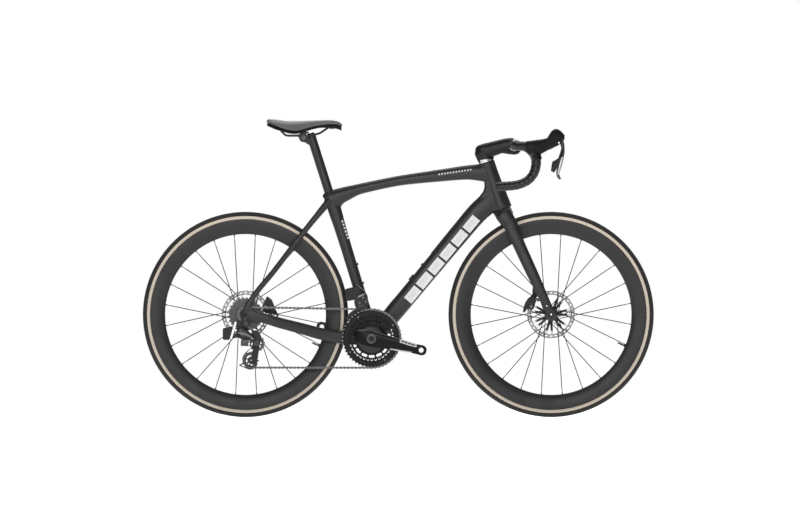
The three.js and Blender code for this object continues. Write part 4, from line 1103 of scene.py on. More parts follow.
def build_faceplate():
    parts = [
        plate("face", arc_band(BAR, 16.2, 22.2, -78, 78, 24), -22, 22, "black_alloy", bevel=1.2)
    ]
    for up in (-14.6, 14.6):
        for y in (-15, 15):
            parts.append(rod(
                "bolt", (BAR.x + 10, y, BAR.z + up), (BAR.x + 18, y, BAR.z + up), 3.4,
                "black_alloy", 20,
            ))
            parts.append(rod(
                "socket", (BAR.x + 17.6, y, BAR.z + up), (BAR.x + 18.2, y, BAR.z + up), 1.9,
                "plastic", 6,
            ))
    under = [
        (338, 888), (338.5, 882), (343, 879.6), (356, 878), (370, 875.6), (382, 874.4),
        (391, 874.6), (399.5, 877.4), (406.5, 884), (405, 887), (398, 886.5), (391, 884.5),
        (382, 886), (366, 888.5), (350, 890),
    ]
    parts.append(plate("guide", under, -17, 17, "plastic", bevel=2.4))
    return join("faceplate", parts)


piece(build_faceplate(), "steering", "black_alloy", "stem_faceplate")


def slanted_ring(name, s0, lift0, s1, lift1, deep, wide, material):
    """A spacer round the steering axis whose faces may be tilted to the front."""
    rings = []
    for grow, s, lift in (
        (-0.8, s0, lift0), (0, s0 + 0.5, lift0), (0, s1 - 0.5, lift1), (-0.8, s1, lift1),
    ):
        ring = []
        for i in range(64):
            t = (i + 0.5) / 64 * TAU
            n, y = (deep + grow) * math.cos(t), (wide + grow) * math.sin(t)
            ring.append(steer(s + lift * n, n, y))
        rings.append(ring)
    return to_object(name, *skin(rings), material, 30)


light = slanted_ring("spacer_ring", 549.4, 0, 559.3, -0.2, 24.6, 26.2, "spacer")
core = rod("core", steer(546), steer(562), 17, "black_alloy", 40)
piece(join("headset_cover", [light, core]), "steering", "spacer_alloy", "headset_spacer")


def bar_points(side, step, begin=0):
    return even(spline(sided(side, BAR_LINE[begin:]), 16), step)


def build_handlebar():
    whole = [*reversed(bar_points(-1, 6)), *bar_points(1, 6)[1:]]

    def radius(i, _):
        y = abs(whole[i].y)
        return 15.9 if y < 70 else max(11.9, 15.9 - (y - 70) * 0.08)

    parts = [sweep("bar", whole, radius, "gloss_black", 28)]
    for side in (-1, 1):
        ends = bar_points(side, 3)
        tip, inner = ends[-1], ends[-3]
        out = (tip - inner).normalized()
        parts.append(rod("plug", tip - out * 1, tip + out * 2.6, 14.2, "plastic", 32, 13.0))
        parts.append(
            rod("plug_rim", tip + out * 2.0, tip + out * 3.6, 10.5, "gloss_black", 32, 9.6)
        )
    return join("handlebar_tube", parts)


piece(build_handlebar(), "steering", "black_alloy", "handlebar")


def tape_material():
    m = Nodes(
        "bar_tape", (0.009, 0.009, 0.009), 0.3, 0.0, Coat_Weight=0.2, Coat_Roughness=0.16,
        Specular_IOR_Level=0.25,
    )
    m.vary_rough(120, 0.24, 0.4)
    m.colour(m.mix(m.noise(60, 3), (0.005, 0.005, 0.005), (0.012, 0.012, 0.012)))
    m.bump(m.noise(1500, 2), 0.2, 0.0002)
    return m.mat


MAT["tape"] = tape_material()


def build_tape(side, name):
    """Overlapping turns of tape, thicker where it starts, from the hood round to the bar's end."""
    points = bar_points(side, TAPE_STEP, TAPE_FROM)

    def radius(i, t):
        wrap = (i * TAPE_STEP / WRAP - side * t / TAU) % 1.0
        step = max(0.0, 1 - wrap / 0.07) * 0.9
        rounded = 1 - (2 * wrap - 1) ** 6
        end = min(1.0, (len(points) - 1 - i) / 3, i / 2)
        bulge = 3.0 * max(0.0, 1 - (i * TAPE_STEP / 78) ** 2)
        return TAPE_R + bulge + 0.35 * rounded - 0.95 * wrap + 0.5 - step + (end - 1) * 1.5

    tape = sweep(name, points, radius, "tape", 44)
    sharpen(tape.data, 60)
    return tape


for side, name in ((-1, "right"), (1, "left")):
    piece(build_tape(side, name + "_tape_wraps"), "steering", "tape", name + "_bar_tape")


def hood_material():
    m = matte_plastic("hood_cover", 0.005, (0.42, 0.55), 900)
    m.bsdf.inputs["Specular IOR Level"].default_value = 0.16
    x, _, z = m.xyz()
    ribs = m.math("SINE", m.times(m.add(x, m.times(z, 0.35)), TAU / 0.0032))
    band = m.times(m.between(x, 0.446, 0.49), m.math("MAXIMUM", ribs, 0.0))
    m.bump(band, 0.35, 0.0004)
    return m.mat


MAT["hood"] = hood_material()


def build_hood(side, name):
    y = side * 207
    rows = [
        (422, 207, 901, 16.6, 15.8), (440, 207, 900, 20, 16.5), (458, 207, 898.5, 24, 17.2),
        (472, 207, 899.5, 24.6, 17), (486, 207, 904.5, 22.3, 16), (496, 207, 909, 21.5, 15.2),
        (504, 207, 917, 25.5, 15), (512, 207, 924.5, 30, 14.8), (523, 207, 930, 29.4, 14.6),
        (533, 207, 931, 25.8, 14), (542, 207, 931.5, 18.5, 12.6), (549, 207, 932, 10, 9),
    ]
    parts = [upright("body", sided(side, rows), "hood", 40, 2.35, 6)]
    collar = [(436, 207, 896), (452, 207, 880), (459, 208, 866), (461, 209, 856)]
    parts.append(sweep("collar", sided(side, collar), 16.2, "hood", 32, 6))
    hood = fused(name + "_hood_cover", parts, "hood", 1.3, 10)
    piece(hood, "steering", "rubber", name + "_hood")

    rows = [(547, 207, 932, 11, 8.5), (550.5, 207, 931.5, 10, 8), (552.2, 207, 930.5, 7, 6.5)]
    cap = upright("cap", sided(side, rows), "gloss_black", 28, 2.4, 4)
    button = drum("button", 545, 921, 4.2, y + side * 10, y + side * 13.4, "plastic", 0.8, 24)
    piece(join(name + "_bracket_cap", [cap, button]), "steering", "plastic")

    upper = [
        (541, 207, 923, 6, 6.5), (546.5, 207, 908, 4.6, 6.8), (548.6, 208, 890, 3.8, 7.2),
        (547.2, 209, 874, 4.4, 7.6), (544, 209, 864, 5.4, 7.8),
    ]
    blade = [
        (546.8, 209, 872, 4.2, 7.4), (544.2, 209, 862, 5.8, 7.8), (540, 210, 848, 6.6, 8),
        (536, 211, 832, 6, 7.8), (531.8, 213, 815, 4.4, 7), (531.6, 214, 806, 3.2, 6.4),
        (536.5, 215, 796.5, 2.2, 5.8), (540.5, 215, 792.5, 1.5, 4.6),
    ]
    lever = join(name + "_lever_blade", [
        loft("upper", sided(side, upper), "gloss_black", 24, 2.6, 6),
        loft("blade", sided(side, blade[:6]), "lever_grey", 24, 2.8, 6),
        loft("tip", sided(side, blade[4:]), "gloss_black", 24, 2.6, 6),
        drum("pin", 533, 913, 3, y - 13.6, y + 13.6, "steel", 0.6, 20),
    ], 40)
    piece(lever, name + "_lever", "black_alloy", name + "_brake_lever")

    outline = [
        (545, 897), (540, 880), (534.2, 864), (524.5, 857.5), (514.7, 852), (512, 838),
        (509.8, 821.5), (519.6, 815.4), (526.9, 830), (533, 850), (538.5, 866), (544, 880),
        (549, 896),
    ]
    paddle = plate("paddle", outline, y - 4 + side, y + 4 + side, "plastic", bevel=1.3)
    rib = plate("rib", [
        (513, 846), (517, 850), (524, 833), (519, 822),
    ], y + side * 4.6, y + side * 6.2, "plastic", bevel=0.5)
    piece(
        join(name + "_paddle_blade", [paddle, rib]), name + "_paddle", "plastic",
        name + "_shift_paddle",
    )


for side, name in ((-1, "right"), (1, "left")):
    build_hood(side, name)

# ---------------------------------------------------------------- seatpost and saddle

# x, half-width, and the heights of the crown, the skirt's edge and the underside
SADDLE = [
    (-439, 28, 988, 983, 984), (-431, 50, 992.5, 979, 980), (-405, 70, 991.5, 968, 976),
    (-375, 71, 989, 956, 973), (-350, 62, 988, 951.5, 971.5), (-328, 52, 987.5, 953.5, 971.5),
    (-300, 40, 988.5, 962.5, 973), (-268, 29, 989.5, 970.5, 976), (-230, 23, 990.5, 975.5, 978.5),
    (-204, 20, 987.5, 974.5, 977.5), (-187, 10, 977, 967, 971),
]


def build_seatpost():
    rows = []
    for z in (645, 700, 760, 820, 868, 900, 925, 940, 946):
        p = seat_line(z)
        size = 1 if z < 946 else 0.7
        rows.append((p.x - (z - 645) * 0.011, 0, z, 15.3 * size, 13.6 * size))
    parts = [loft("post", rows, "frame", 40, 2.3, 6)]
    head = [
        (-285, 0, 914, 13, 11), (-293, 0, 920, 14.5, 10.5), (-303, 0, 927, 15, 11),
        (-316, 0, 931, 14, 11.5),
    ]
    parts.append(loft("head", head, "frame", 40, 2.3, 6))
    parts.append(drum("eye", -315.5, 931, 15.4, -12.5, 12.5, "frame", 2))
    return fused("seatpost_mast", parts, "carbon", 1.3, 8)


piece(build_seatpost(), "seatpost", "carbon", "seatpost")


def build_clamp():
    parts = [drum("core", -315.5, 931, 10.6, -29, 29, "black_alloy", 1, 40)]
    for side in (-1, 1):
        y0, y1 = side * 16, side * 28.8
        parts.append(drum("ear", -315.5, 933, 13.6, y0, y1, "black_alloy", 1.6, 40))
        parts.append(block("jaw", -334, -297, min(y0, y1), max(y0, y1), 931, 943, "black_alloy", 3))
        parts.append(
            block(
                "grip", -327, -298, min(y0, y1) + 1, max(y0, y1) - 1, 940, 951.5, "black_alloy",
                3.4,
            )
        )
        parts.append(
            rod("screw", (-306, side * 27.6, 940), (-302.5, side * 27.6, 945.5), 1.7, "steel", 16)
        )
        parts.append(
            drum("bolt", -315.5, 931, 7.5, side * 28.4, side * 30.6, "arm_grey", 0.8, 32, bore=3.4)
        )
    return join("saddle_cradle", parts)


piece(build_clamp(), "saddle_clamp", "black_alloy", "saddle_clamp")

RAIL_LINE = [
    (-400, 30, 965), (-387, 27, 950), (-374, 23, 939), (-350, 21.5, 937.5), (-312, 21.5, 938.5),
    (-280, 21.5, 941.5), (-264, 19.5, 945), (-247, 14, 955), (-233, 9, 965), (-223, 5, 969),
]


def build_rails():
    parts = [sweep("rail", sided(side, RAIL_LINE), 3.6, "gloss_black", 16, 8) for side in (-1, 1)]
    parts.append(rod("nose", (-223, -6, 969), (-223, 6, 969), 4.4, "plastic", 20))
    return join("rails", parts)


piece(build_rails(), "saddle", "dark_steel", "saddle_rails")


def saddle_material():
    m = Nodes("saddle_cover", (0.1, 0.1, 0.098), 0.4, 0.0, Coat_Weight=0.3, Coat_Roughness=0.3)
    grain = m.node("TexVoronoi")
    grain.inputs["Scale"].default_value = 1100
    m.link(m.coords, grain.inputs["Vector"])
    m.bump(grain.outputs["Distance"], 0.1, 0.0001)
    m.colour(m.mix(m.noise(30, 4), (0.1, 0.1, 0.098), (0.13, 0.13, 0.127)))
    m.vary_rough(25, 0.34, 0.46)
    return m.mat


MAT["saddle"] = saddle_material()


def build_saddle_cover():
    rings = []
    count = 40
    for x, half, crown, skirt, under in spline(SADDLE, 7):
        ring = []
        channel = 2.6 * max(0.0, 1 - ((x + 325) / 95) ** 2)
        for i in range(count + 1):
            u = -1 + 2 * i / count
            y = half * math.copysign(abs(u) ** 0.86, u)
            side = abs(u)
            drop = (crown - skirt) * (0.22 * side**2 + 0.78 * side**9)
            z = crown - drop - channel * math.exp(-((y / 8.5) ** 2))
            ring.append(Vector((x, y, z)))
        for i in range(count - 1, 0, -1):
            u = -1 + 2 * i / count
            y = (half - 1.6) * math.copysign(abs(u) ** 0.86, u)
            side = abs(u)
            z = min(skirt + 0.3, under) + (under - skirt) * (1 - side**6) * 0.8
            ring.append(Vector((x, y, min(z, under))))
        rings.append(ring)
    saddle = to_object("saddle_top", *skin(rings), "saddle", 70)
    bake(saddle, ("SUBSURF", {"levels": 1, "render_levels": 1}))
    smooth(saddle.data)
    return saddle


cover = piece(build_saddle_cover(), "saddle", "saddle", "saddle_cover")


def build_saddle_shell():
    """The stiff base under the cover, a thin shell that follows its outline."""
    rings = []
    for x, half, _, skirt, under in spline(SADDLE, 5)[2:-1]:
        ring = []
        count = 20
        nose, rear = min(1, max(0, (x + 262) / 50)), min(1, max(0, (-380 - x) / 30))
        top, low = under - 0.8, skirt - 7.5 - 6.5 * nose - 3.5 * rear
        for i in range(count + 1):
            u = -1 + 2 * i / count
            ring.append(Vector((x, (half - 2.5) * u, low + (top - low) * (1 - abs(u) ** 6))))
        for i in range(count, -1, -1):
            u = -1 + 2 * i / count
            ring.append(
                Vector((x, (half - 5) * u, low - 0.5 + (top - 2.6 - low) * (1 - abs(u) ** 6)))
            )
        rings.append(ring)
    parts = [to_object("base", *skin(rings), "plastic", 50)]
    parts.append(block("socket", -230, -214, -11, 11, 960, 972, "plastic", 2.5))
    for y in (-30, 30):
        parts.append(block("socket", -408, -390, y - 7, y + 7, 958, 968, "plastic", 2))
    return join("saddle_base", parts)


piece(build_saddle_shell(), "saddle", "plastic", "saddle_shell")

# ---------------------------------------------------------------- chain line and sprockets

CHAIN_PITCH = 12.7
RING_TEETH, SMALL_TEETH, PULLEY_TEETH, CHAIN_COG = 48, 35, 12, 12
SPROCKETS = (10, 11, 12, 13, 14, 15, 16, 17, 19, 21, 24, 28)
RING_Y = centre("big_chainring").y
SMALL_Y = -40.9
COG_Y, COG_STEP = -65.5, 3.65
PULLEY_Y = joint_at("cage_swing").y


def pitch_radius(teeth):
    return CHAIN_PITCH / (2 * math.sin(math.pi / teeth))


def chain_path():
    """Dense points along the chain's pitch line, with the way out from each ring's centre."""
    stops = [
        (BB, RING_TEETH, 1, RING_Y), (REAR, CHAIN_COG, 1, PULLEY_Y),
        (GUIDE, PULLEY_TEETH, -1, PULLEY_Y), (TENSION, PULLEY_TEETH, 1, PULLEY_Y),
    ]
    headings = []
    for i, (a, teeth, turn, _) in enumerate(stops):
        b, teeth2, turn2, _ = stops[(i + 1) % 4]
        dx, dz = b.x - a.x, b.z - a.z
        gap = turn2 * pitch_radius(teeth2) - turn * pitch_radius(teeth)
        headings.append(math.atan2(dz, dx) - math.asin(gap / math.hypot(dx, dz)))
    points = []
    for i, (a, teeth, turn, y) in enumerate(stops):
        first = headings[i - 1]
        sweep_by = headings[i] - first
        while turn * sweep_by < 0:
            sweep_by += turn * TAU
        while turn * sweep_by > TAU:
            sweep_by -= turn * TAU
        count = max(12, int(abs(sweep_by) * pitch_radius(teeth) / 2))
        for k in range(count + 1):
            h = first + sweep_by * k / count
            r = turn * pitch_radius(teeth)
            points.append(Vector((a.x + math.sin(h) * r, y, a.z - math.cos(h) * r)))
    return points


def walk(points, count):
    """count points evenly along a closed line."""
    lengths = [0.0]
    loop = points + [points[0]]
    for a, b in zip(loop, loop[1:]):
        lengths.append(lengths[-1] + (b - a).length)
    out, j = [], 0
    for i in range(count):
        s = lengths[-1] * i / count
        while lengths[j + 1] < s:
            j += 1
        t = (s - lengths[j]) / max(1e-9, lengths[j + 1] - lengths[j])
        out.append(loop[j].lerp(loop[j + 1], t))
    return out


PATH = chain_path()
LINKS = 2 * round(sum((b - a).length for a, b in zip(PATH, PATH[1:] + PATH[:1])) / CHAIN_PITCH / 2)
ROLLERS = walk(PATH, LINKS)


def phase_on(at, teeth):
    """Angle of a roller that sits on this sprocket, so that the teeth fall between rollers."""
    reach = pitch_radius(teeth)
    on = [p for p in ROLLERS if abs(math.hypot(p.x - at.x, p.z - at.z) - reach) < 0.4]
    p = on[len(on) // 2]
    return math.atan2(p.z - at.z, p.x - at.x)


TOOTH = (
    (-0.2, -3.1), (0.0, -3.8), (0.2, -3.1), (0.33, -0.3), (0.42, 2.1), (0.58, 2.1), (0.67, -0.3),
)


def toothed(teeth, phase, low=1.0):
    """The outline of a sprocket; TOOTH gives its steps in teeth and in mm from the pitch line."""
    r = pitch_radius(teeth)
    out = []
    for k in range(teeth):
        for f, lift in TOOTH:
            out.append(polar(r + lift * low, phase + (k + f) / teeth * TAU))
    return out


def ring_material(name, edge, base=0.012, bright=0.2):
    """Black anodised plate whose teeth are bare metal beyond the radius edge."""
    m = Nodes(name, (base, base, base), 0.3, 0.85)
    radius = m.radius()
    wear_and_highlights = m.more(m.add(radius, m.times(m.noise(300, 3), 0.0016)), edge * MM)
    rings = m.math("SINE", m.times(radius, TAU / 0.0007))
    m.colour(m.mix(wear_and_highlights, (base, base, base * 1.04), (bright, bright, bright)))
    m.bump(rings, 0.1, 0.0001)
    m.vary_rough(60, 0.24, 0.4)
    return m.mat


MAT["ring"] = ring_material("chainring_black", 95.6)


def spider_material():
    """Satin black whose lower half, below the crank arm, is a grey anodised tone."""
    m = Nodes("spider_finish", (0.03, 0.03, 0.03), 0.36, 0.4)
    x, _, z = m.xyz()
    tilt = m.add(m.times(m.sub(x, BB.x * MM), 0.22), m.sub(z, BB.z * MM))
    lower = m.less(tilt, 0.006)
    m.colour(m.mix(lower, (0.005, 0.005, 0.005), (0.016, 0.016, 0.017)))
    m.vary_rough(60, 0.3, 0.42)
    return m.mat


MAT["spider"] = spider_material()
MAT["cog"] = ring_material("sprocket_steel", 200, 0.075)


def build_rings():
    phase = phase_on(BB, RING_TEETH)
    holes = [circle(0, 0, 30.5, 64)]
    down = math.radians(-89.1)
    for k in range(SMALL_TEETH):
        at = polar(71, down + k / SMALL_TEETH * TAU)
        holes.append(circle(*at, 3.6 + 0.4 * (k % 2), 14))
    windows = [slot_hole(59.6, down + k / 15 * TAU, 11.6, 8.6) for k in range(15)]
    holes += windows
    big = plate(
        "teeth", toothed(RING_TEETH, phase), RING_Y - 0.95, RING_Y + 0.95, "ring", holes, bevel=0.3,
    )
    rim = lathe("rim", [
        (78, RING_Y - 2.3), (91.5, RING_Y - 2.3), (92.5, RING_Y - 1), (77, RING_Y - 1),
    ], "ring", 128)
    step = lathe("step", [
        (50, RING_Y - 3.4), (53.4, RING_Y - 3.4), (54.4, RING_Y - 0.9), (49, RING_Y - 0.9),
    ], "ring", 96)
    bolts = []
    for k in range(4):
        at = polar(84, math.radians(32) + k * math.pi / 2)
        bolts.append(drum("bolt", *at, 2.6, RING_Y - 3, RING_Y - 2, "grey_steel", 0.3, 16))
    at_axle(join("big_ring", [big, rim, step, *bolts]), BB, "crank", "dark_steel", "big_chainring")

    holes = [circle(0, 0, 48, 64), *windows]
    small = plate(
        "teeth", toothed(SMALL_TEETH, down + math.pi / SMALL_TEETH), SMALL_Y - 0.95, SMALL_Y + 0.95,
        "ring", holes, bevel=0.25,
    )
    arms = []
    for k in range(4):
        at = polar(53, (k + 0.5) / 4 * TAU)
        arms.append(drum("post", *at, 4, RING_Y + 1.2, SMALL_Y, "ring", 0.3, 20))
    web = lathe("web", [
        (47, SMALL_Y - 1), (54, SMALL_Y - 1), (54, SMALL_Y + 1), (47, SMALL_Y + 1),
    ], "ring", 96)
    at_axle(join("small_ring", [small, web, *arms]), BB, "crank", "dark_steel", "small_chainring")


build_rings()

CRANK_ANGLE = math.radians(13.1)
CRANK = 170


def crank_material():
    """Gloss black arm with a plain light panel along its upper face, and painted highlights: grey
    strips along its upper edge near the hub and on the tail behind the hub, and a pale grey strip
    along its lower edge.
    """
    m = satin_carbon("crank_arm", 0.004, (0.2, 0.3), 0.08)
    base = m.bsdf.inputs["Base Color"].links[0].from_socket
    y = m.xyz()[1]
    along, across = m.line(BB.x, BB.z, -CRANK_ANGLE)
    upper = m.math("MULTIPLY_ADD", along, -0.088, 0.0234)
    panel = m.times(m.between(along, 0.094, 0.152), m.between(across, 0.0056, 0.0500))
    rim = m.less(m.math("ABSOLUTE", m.sub(across, upper)), 0.0062)
    panel = m.times(panel, rim)
    dash = m.more(m.math("FRACT", m.math("DIVIDE", along, 0.012)), 0.2)
    core = m.less(m.math("ABSOLUTE", m.sub(across, upper)), 0.0021)
    dark = m.times(m.times(dash, core), m.between(along, 0.100, 0.148))
    outboard = m.less(y, -0.063)
    # Painted highlights on the arm's rounded edges: below marks a strip along the lower edge, above
    # one along the upper edge near the hub, and root one on the tail behind the hub.
    half = m.math("MULTIPLY_ADD", along, -0.074, 0.0264)
    below = m.more(m.times(across, -1.0), m.sub(half, 0.0036))
    below = m.times(below, m.between(along, 0.068, 0.141))
    above = m.more(across, m.sub(half, 0.0022))
    above = m.times(above, m.between(along, -0.012, 0.095))
    root = m.more(across, m.math("MULTIPLY_ADD", along, 0.27, 0.0272))
    root = m.times(root, m.between(along, -0.058, -0.010))
    # Paints the highlights: grey above and on the tail, pale grey along the lower edge.
    wear_and_highlights = m.mix(m.math("MAXIMUM", above, root), base, (0.11, 0.11, 0.11))
    wear_and_highlights = m.mix(below, wear_and_highlights, (0.42, 0.42, 0.42))
    light = m.times(m.times(panel, m.sub(1.0, dark)), outboard)
    m.colour(m.mix(light, wear_and_highlights, (0.5, 0.5, 0.5)))
    return m.mat


MAT["crank_arm"] = crank_material()


def crank_arm(angle, stations, finish, y0, y1):
    """An arm with its eye bored out, and the threaded sleeve in the eye.

    Stations stand square to the arm: (along, y, half-height, half-depth).
    """
    d = Vector((math.cos(angle), 0, math.sin(angle)))
    up = Vector((-d.z, 0, d.x))
    rings = []
    for r, y, a, b in spline(stations, 6):
        c = Vector((BB.x, y, BB.z)) + d * r
        rings.append(section(c, up, ACROSS, a, b, 48, 3.2))
    arm = fused("arm", [to_object("arm", *skin(rings), finish)], finish, 1.1, 5)
    eye = polar(CRANK, angle, BB.x, BB.z)
    carve(arm, drum("eye", *eye, 8, -90, 90, "plastic", 0.2, 40))
    return [arm, drum("sleeve", *eye, 9.6, y0, y1, "grey_steel", 0.6, 40, bore=7.3)]


def build_cranks():
    hub = (BB.x, 0, BB.z)
    right = [
        (-60, -58, 3, 2.5), (-54, -58.5, 13, 4), (-34, -60.5, 24, 6.5), (0, -63, 26.5, 8.5),
        (30, -64, 24.5, 8.5), (60, -65, 22.6, 8), (100, -66.5, 20.4, 7.2), (135, -67.5, 17.2, 6.8),
        (160, -68, 16.8, 6.6), (174, -68, 17.2, 6.5), (184, -68, 12.5, 6), (188, -68, 5, 5),
    ]
    arm, sleeve = crank_arm(-CRANK_ANGLE, right, "crank_arm", -75, -61)
    carve(arm, drum("socket", BB.x, BB.z, 7.5, -90, -64, "plastic", 0.2, 40))
    dome = lathe("dome", [
        (0.5, -57), (30, -57), (42, -55.5), (48.4, -52.6), (49.2, -50.6), (48, -48.8), (0.5, -48.8),
    ], "spider", 96, auto=50, at=hub)
    groove = lathe("groove", [
        (22.6, -71), (24.2, -71.9), (24.8, -71), (24.8, -66), (22.6, -66),
    ], "gloss_black", 64, at=hub)
    cap = lathe("cap", [
        (7.6, -71.6), (9, -72.9), (15.5, -72.6), (17, -71.4), (17.6, -68), (7.6, -68),
    ], "arm_grey", 64, at=hub)
    core = drum("core", BB.x, BB.z, 7.4, -66, -60, "plastic", 0.4, 32, bore=4)
    spindle = drum("spindle", BB.x, BB.z, 14.4, -50, 61, "dark_steel", 0.5, 48)
    piece(
        join("right_arm", [arm, sleeve, dome, groove, cap, core, spindle]), "crank", "carbon",
        "right_crank",
    )

    left = [
        (-22, 54, 14, 6), (-12, 55, 22, 8.5), (0, 56.5, 24.5, 9.5), (30, 58.5, 22.5, 9),
        (70, 61.5, 20.5, 8), (120, 66, 17.6, 7), (155, 68, 16.6, 6.6), (174, 68, 17, 6.5),
        (184, 68, 12.5, 6), (188, 68, 5, 5),
    ]
    arms = crank_arm(math.pi - CRANK_ANGLE, left, "crank_carbon", 61, 75)
    cap = lathe("cap", [
        (5, 66.8), (8, 67.6), (15.5, 67), (17, 66), (17, 62), (5, 62),
    ], "arm_grey", 64, at=hub)
    collar = drum("collar", BB.x, BB.z, 19.5, 43.2, 50, "black_alloy", 1, 48, bore=14.8)
    piece(join("left_arm", [*arms, cap, collar]), "crank", "carbon", "left_crank")

    cups = []
    for side in (-1, 1):
        cups.append(
            drum("cup", BB.x, BB.z, 22.5, side * 40, side * 43, "black_alloy", 0.8, 48, bore=15)
        )
    piece(join("bottom_bracket_cups", cups), "frame", "black_alloy")


build_cranks()


def build_cassette():
    parts = []
    for i, teeth in enumerate(SPROCKETS):
        y = COG_Y + i * COG_STEP
        phase = phase_on(REAR, teeth) if teeth == CHAIN_COG else i * 0.37
        r = pitch_radius(teeth)
        holes = [circle(0, 0, min(17.6, r - 5), 40)]
        if teeth >= 17:
            count = 10 if teeth < 24 else 12
            for k in range(count):
                at = polar(r * 0.5 + 12, (k + 0.5 * (i % 2)) / count * TAU)
                holes.append(circle(*at, min(3.8, (r - 22) / 2.6), 10))
        parts.append(
            plate("cog", toothed(teeth, phase, 0.9), y - 0.8, y + 0.8, "cog", holes, bevel=0.2)
        )
    last = COG_Y + (len(SPROCKETS) - 1) * COG_STEP
    sleeve = [
        (17.3, COG_Y - 1), (18.3, COG_Y - 1), (18.6, COG_Y + 12), (21, COG_Y + 24),
        (24, last + 0.6), (17.3, last + 0.6),
    ]
    parts.append(lathe("sleeve", sleeve, "dark_steel", 64))
    at_axle(join("sprockets", parts), REAR, "cassette", "steel", "cassette")
    hub = [
        (6.6, COG_Y - 1.6), (16.6, COG_Y - 1.6), (17, COG_Y - 0.6), (17, last + 1.6),
        (6.6, last + 1.6),
    ]
    body = lathe("body", hub, "black_alloy", 48)
    lock = lathe("lock", [
        (9.5, COG_Y - 3.4), (15.5, COG_Y - 3.6), (17.6, COG_Y - 2.2), (17.6, COG_Y - 1.2),
        (9.5, COG_Y - 1.2),
    ], "black_alloy", 24, auto=20)
    at_axle(join("freehub_body", [body, lock]), REAR, "cassette", "black_alloy", "freehub")


build_cassette()


CAGE_FRONT, CAGE_TOP = -446, 262
LOWER_RUN_END, LOWER_RUN_TOP = -486, 180


def on_cage(p):
    """True for the stretch of chain that wraps the two pulleys and swings with their cage."""
    near = p.x < CAGE_FRONT and p.z < CAGE_TOP
    return near and (p.x < LOWER_RUN_END or p.z > LOWER_RUN_TOP)


def build_chain(name, wanted):
    """Inner and outer links, rollers and pins, set round the wanted stretch of the chain line."""
    bm = bmesh.new()
    half, quarter = CHAIN_PITCH / 2, math.pi / 2
    outline = [*arc(half, 0, 4.2, -quarter, quarter, 8), (0, 2.3)]
    outline += [*arc(-half, 0, 4.2, quarter, 3 * quarter, 8), (0, -2.3)]

    def slab(middle, y0, y1, shape):
        """An outline of (along, up), thickened from y0 to y1 across the chain."""
        low = [bm.verts.new((middle + along * a + up * b + across * y0) * MM) for a, b in shape]
        high = [bm.verts.new((middle + along * a + up * b + across * y1) * MM) for a, b in shape]
        n = len(shape)
        bm.faces.new(low[::-1])
        bm.faces.new(high)
        for i in range(n):
            k = (i + 1) % n
            bm.faces.new((low[i], low[k], high[k], high[i]))

    roller, pin = circle(0, 0, 3.7, 12), circle(0, 0, 1.75, 8)
    for i, a in enumerate(ROLLERS):
        b = ROLLERS[(i + 1) % LINKS]
        if on_cage((a + b) / 2) != wanted:
            continue
        along = (b - a).normalized()
        across = (ACROSS - along * along.y).normalized()
        up = across.cross(along)
        near, far = (1.15, 1.95) if i % 2 else (2.0, 2.75)
        for side in (-1, 1):
            slab((a + b) / 2, side * near, side * far, outline)
        slab(a, -1.1, 1.1, roller)
        slab(a, -3.0, 3.0, pin)
    bmesh.ops.recalc_face_normals(bm, faces=bm.faces)
    return finished(name, from_bmesh(name, bm), "chain", 35)


piece(build_chain("chain_links", False), "frame", "chain_steel", "chain")
piece(build_chain("chain_pulley_loop", True), "derailleur_cage", "chain_steel")

# ---------------------------------------------------------------- rear derailleur


def build_pulley(name, at):
    phase = phase_on(at, PULLEY_TEETH)
    holes = [circle(0, 0, 5.2, 24)]
    for k in range(4):
        holes.append(slot_hole(14.2, k * math.pi / 2 + 0.5, 13, 6.4))
    wheel = plate(
        "wheel", toothed(PULLEY_TEETH, phase, 0.95), PULLEY_Y - 1, PULLEY_Y + 1, "plastic", holes,
        bevel=0.3,
    )
    hub = lathe("hub", [
        (3.1, PULLEY_Y - 2.6), (7, PULLEY_Y - 2.6), (7.4, PULLEY_Y - 1), (7.4, PULLEY_Y + 1),
        (7, PULLEY_Y + 2.6), (3.1, PULLEY_Y + 2.6),
    ], "grey_steel", 32)
    at_axle(join(name + "_wheel", [wheel, hub]), at, name, "plastic", name)


build_pulley("guide_pulley", GUIDE)
build_pulley("tension_pulley", TENSION)


def smooth_loop(points, per=4):
    """A closed outline rounded through its points."""
    loop = list(points)
    return spline(loop[-2:] + loop + loop[:2], per)[2 * per:-2 * per]


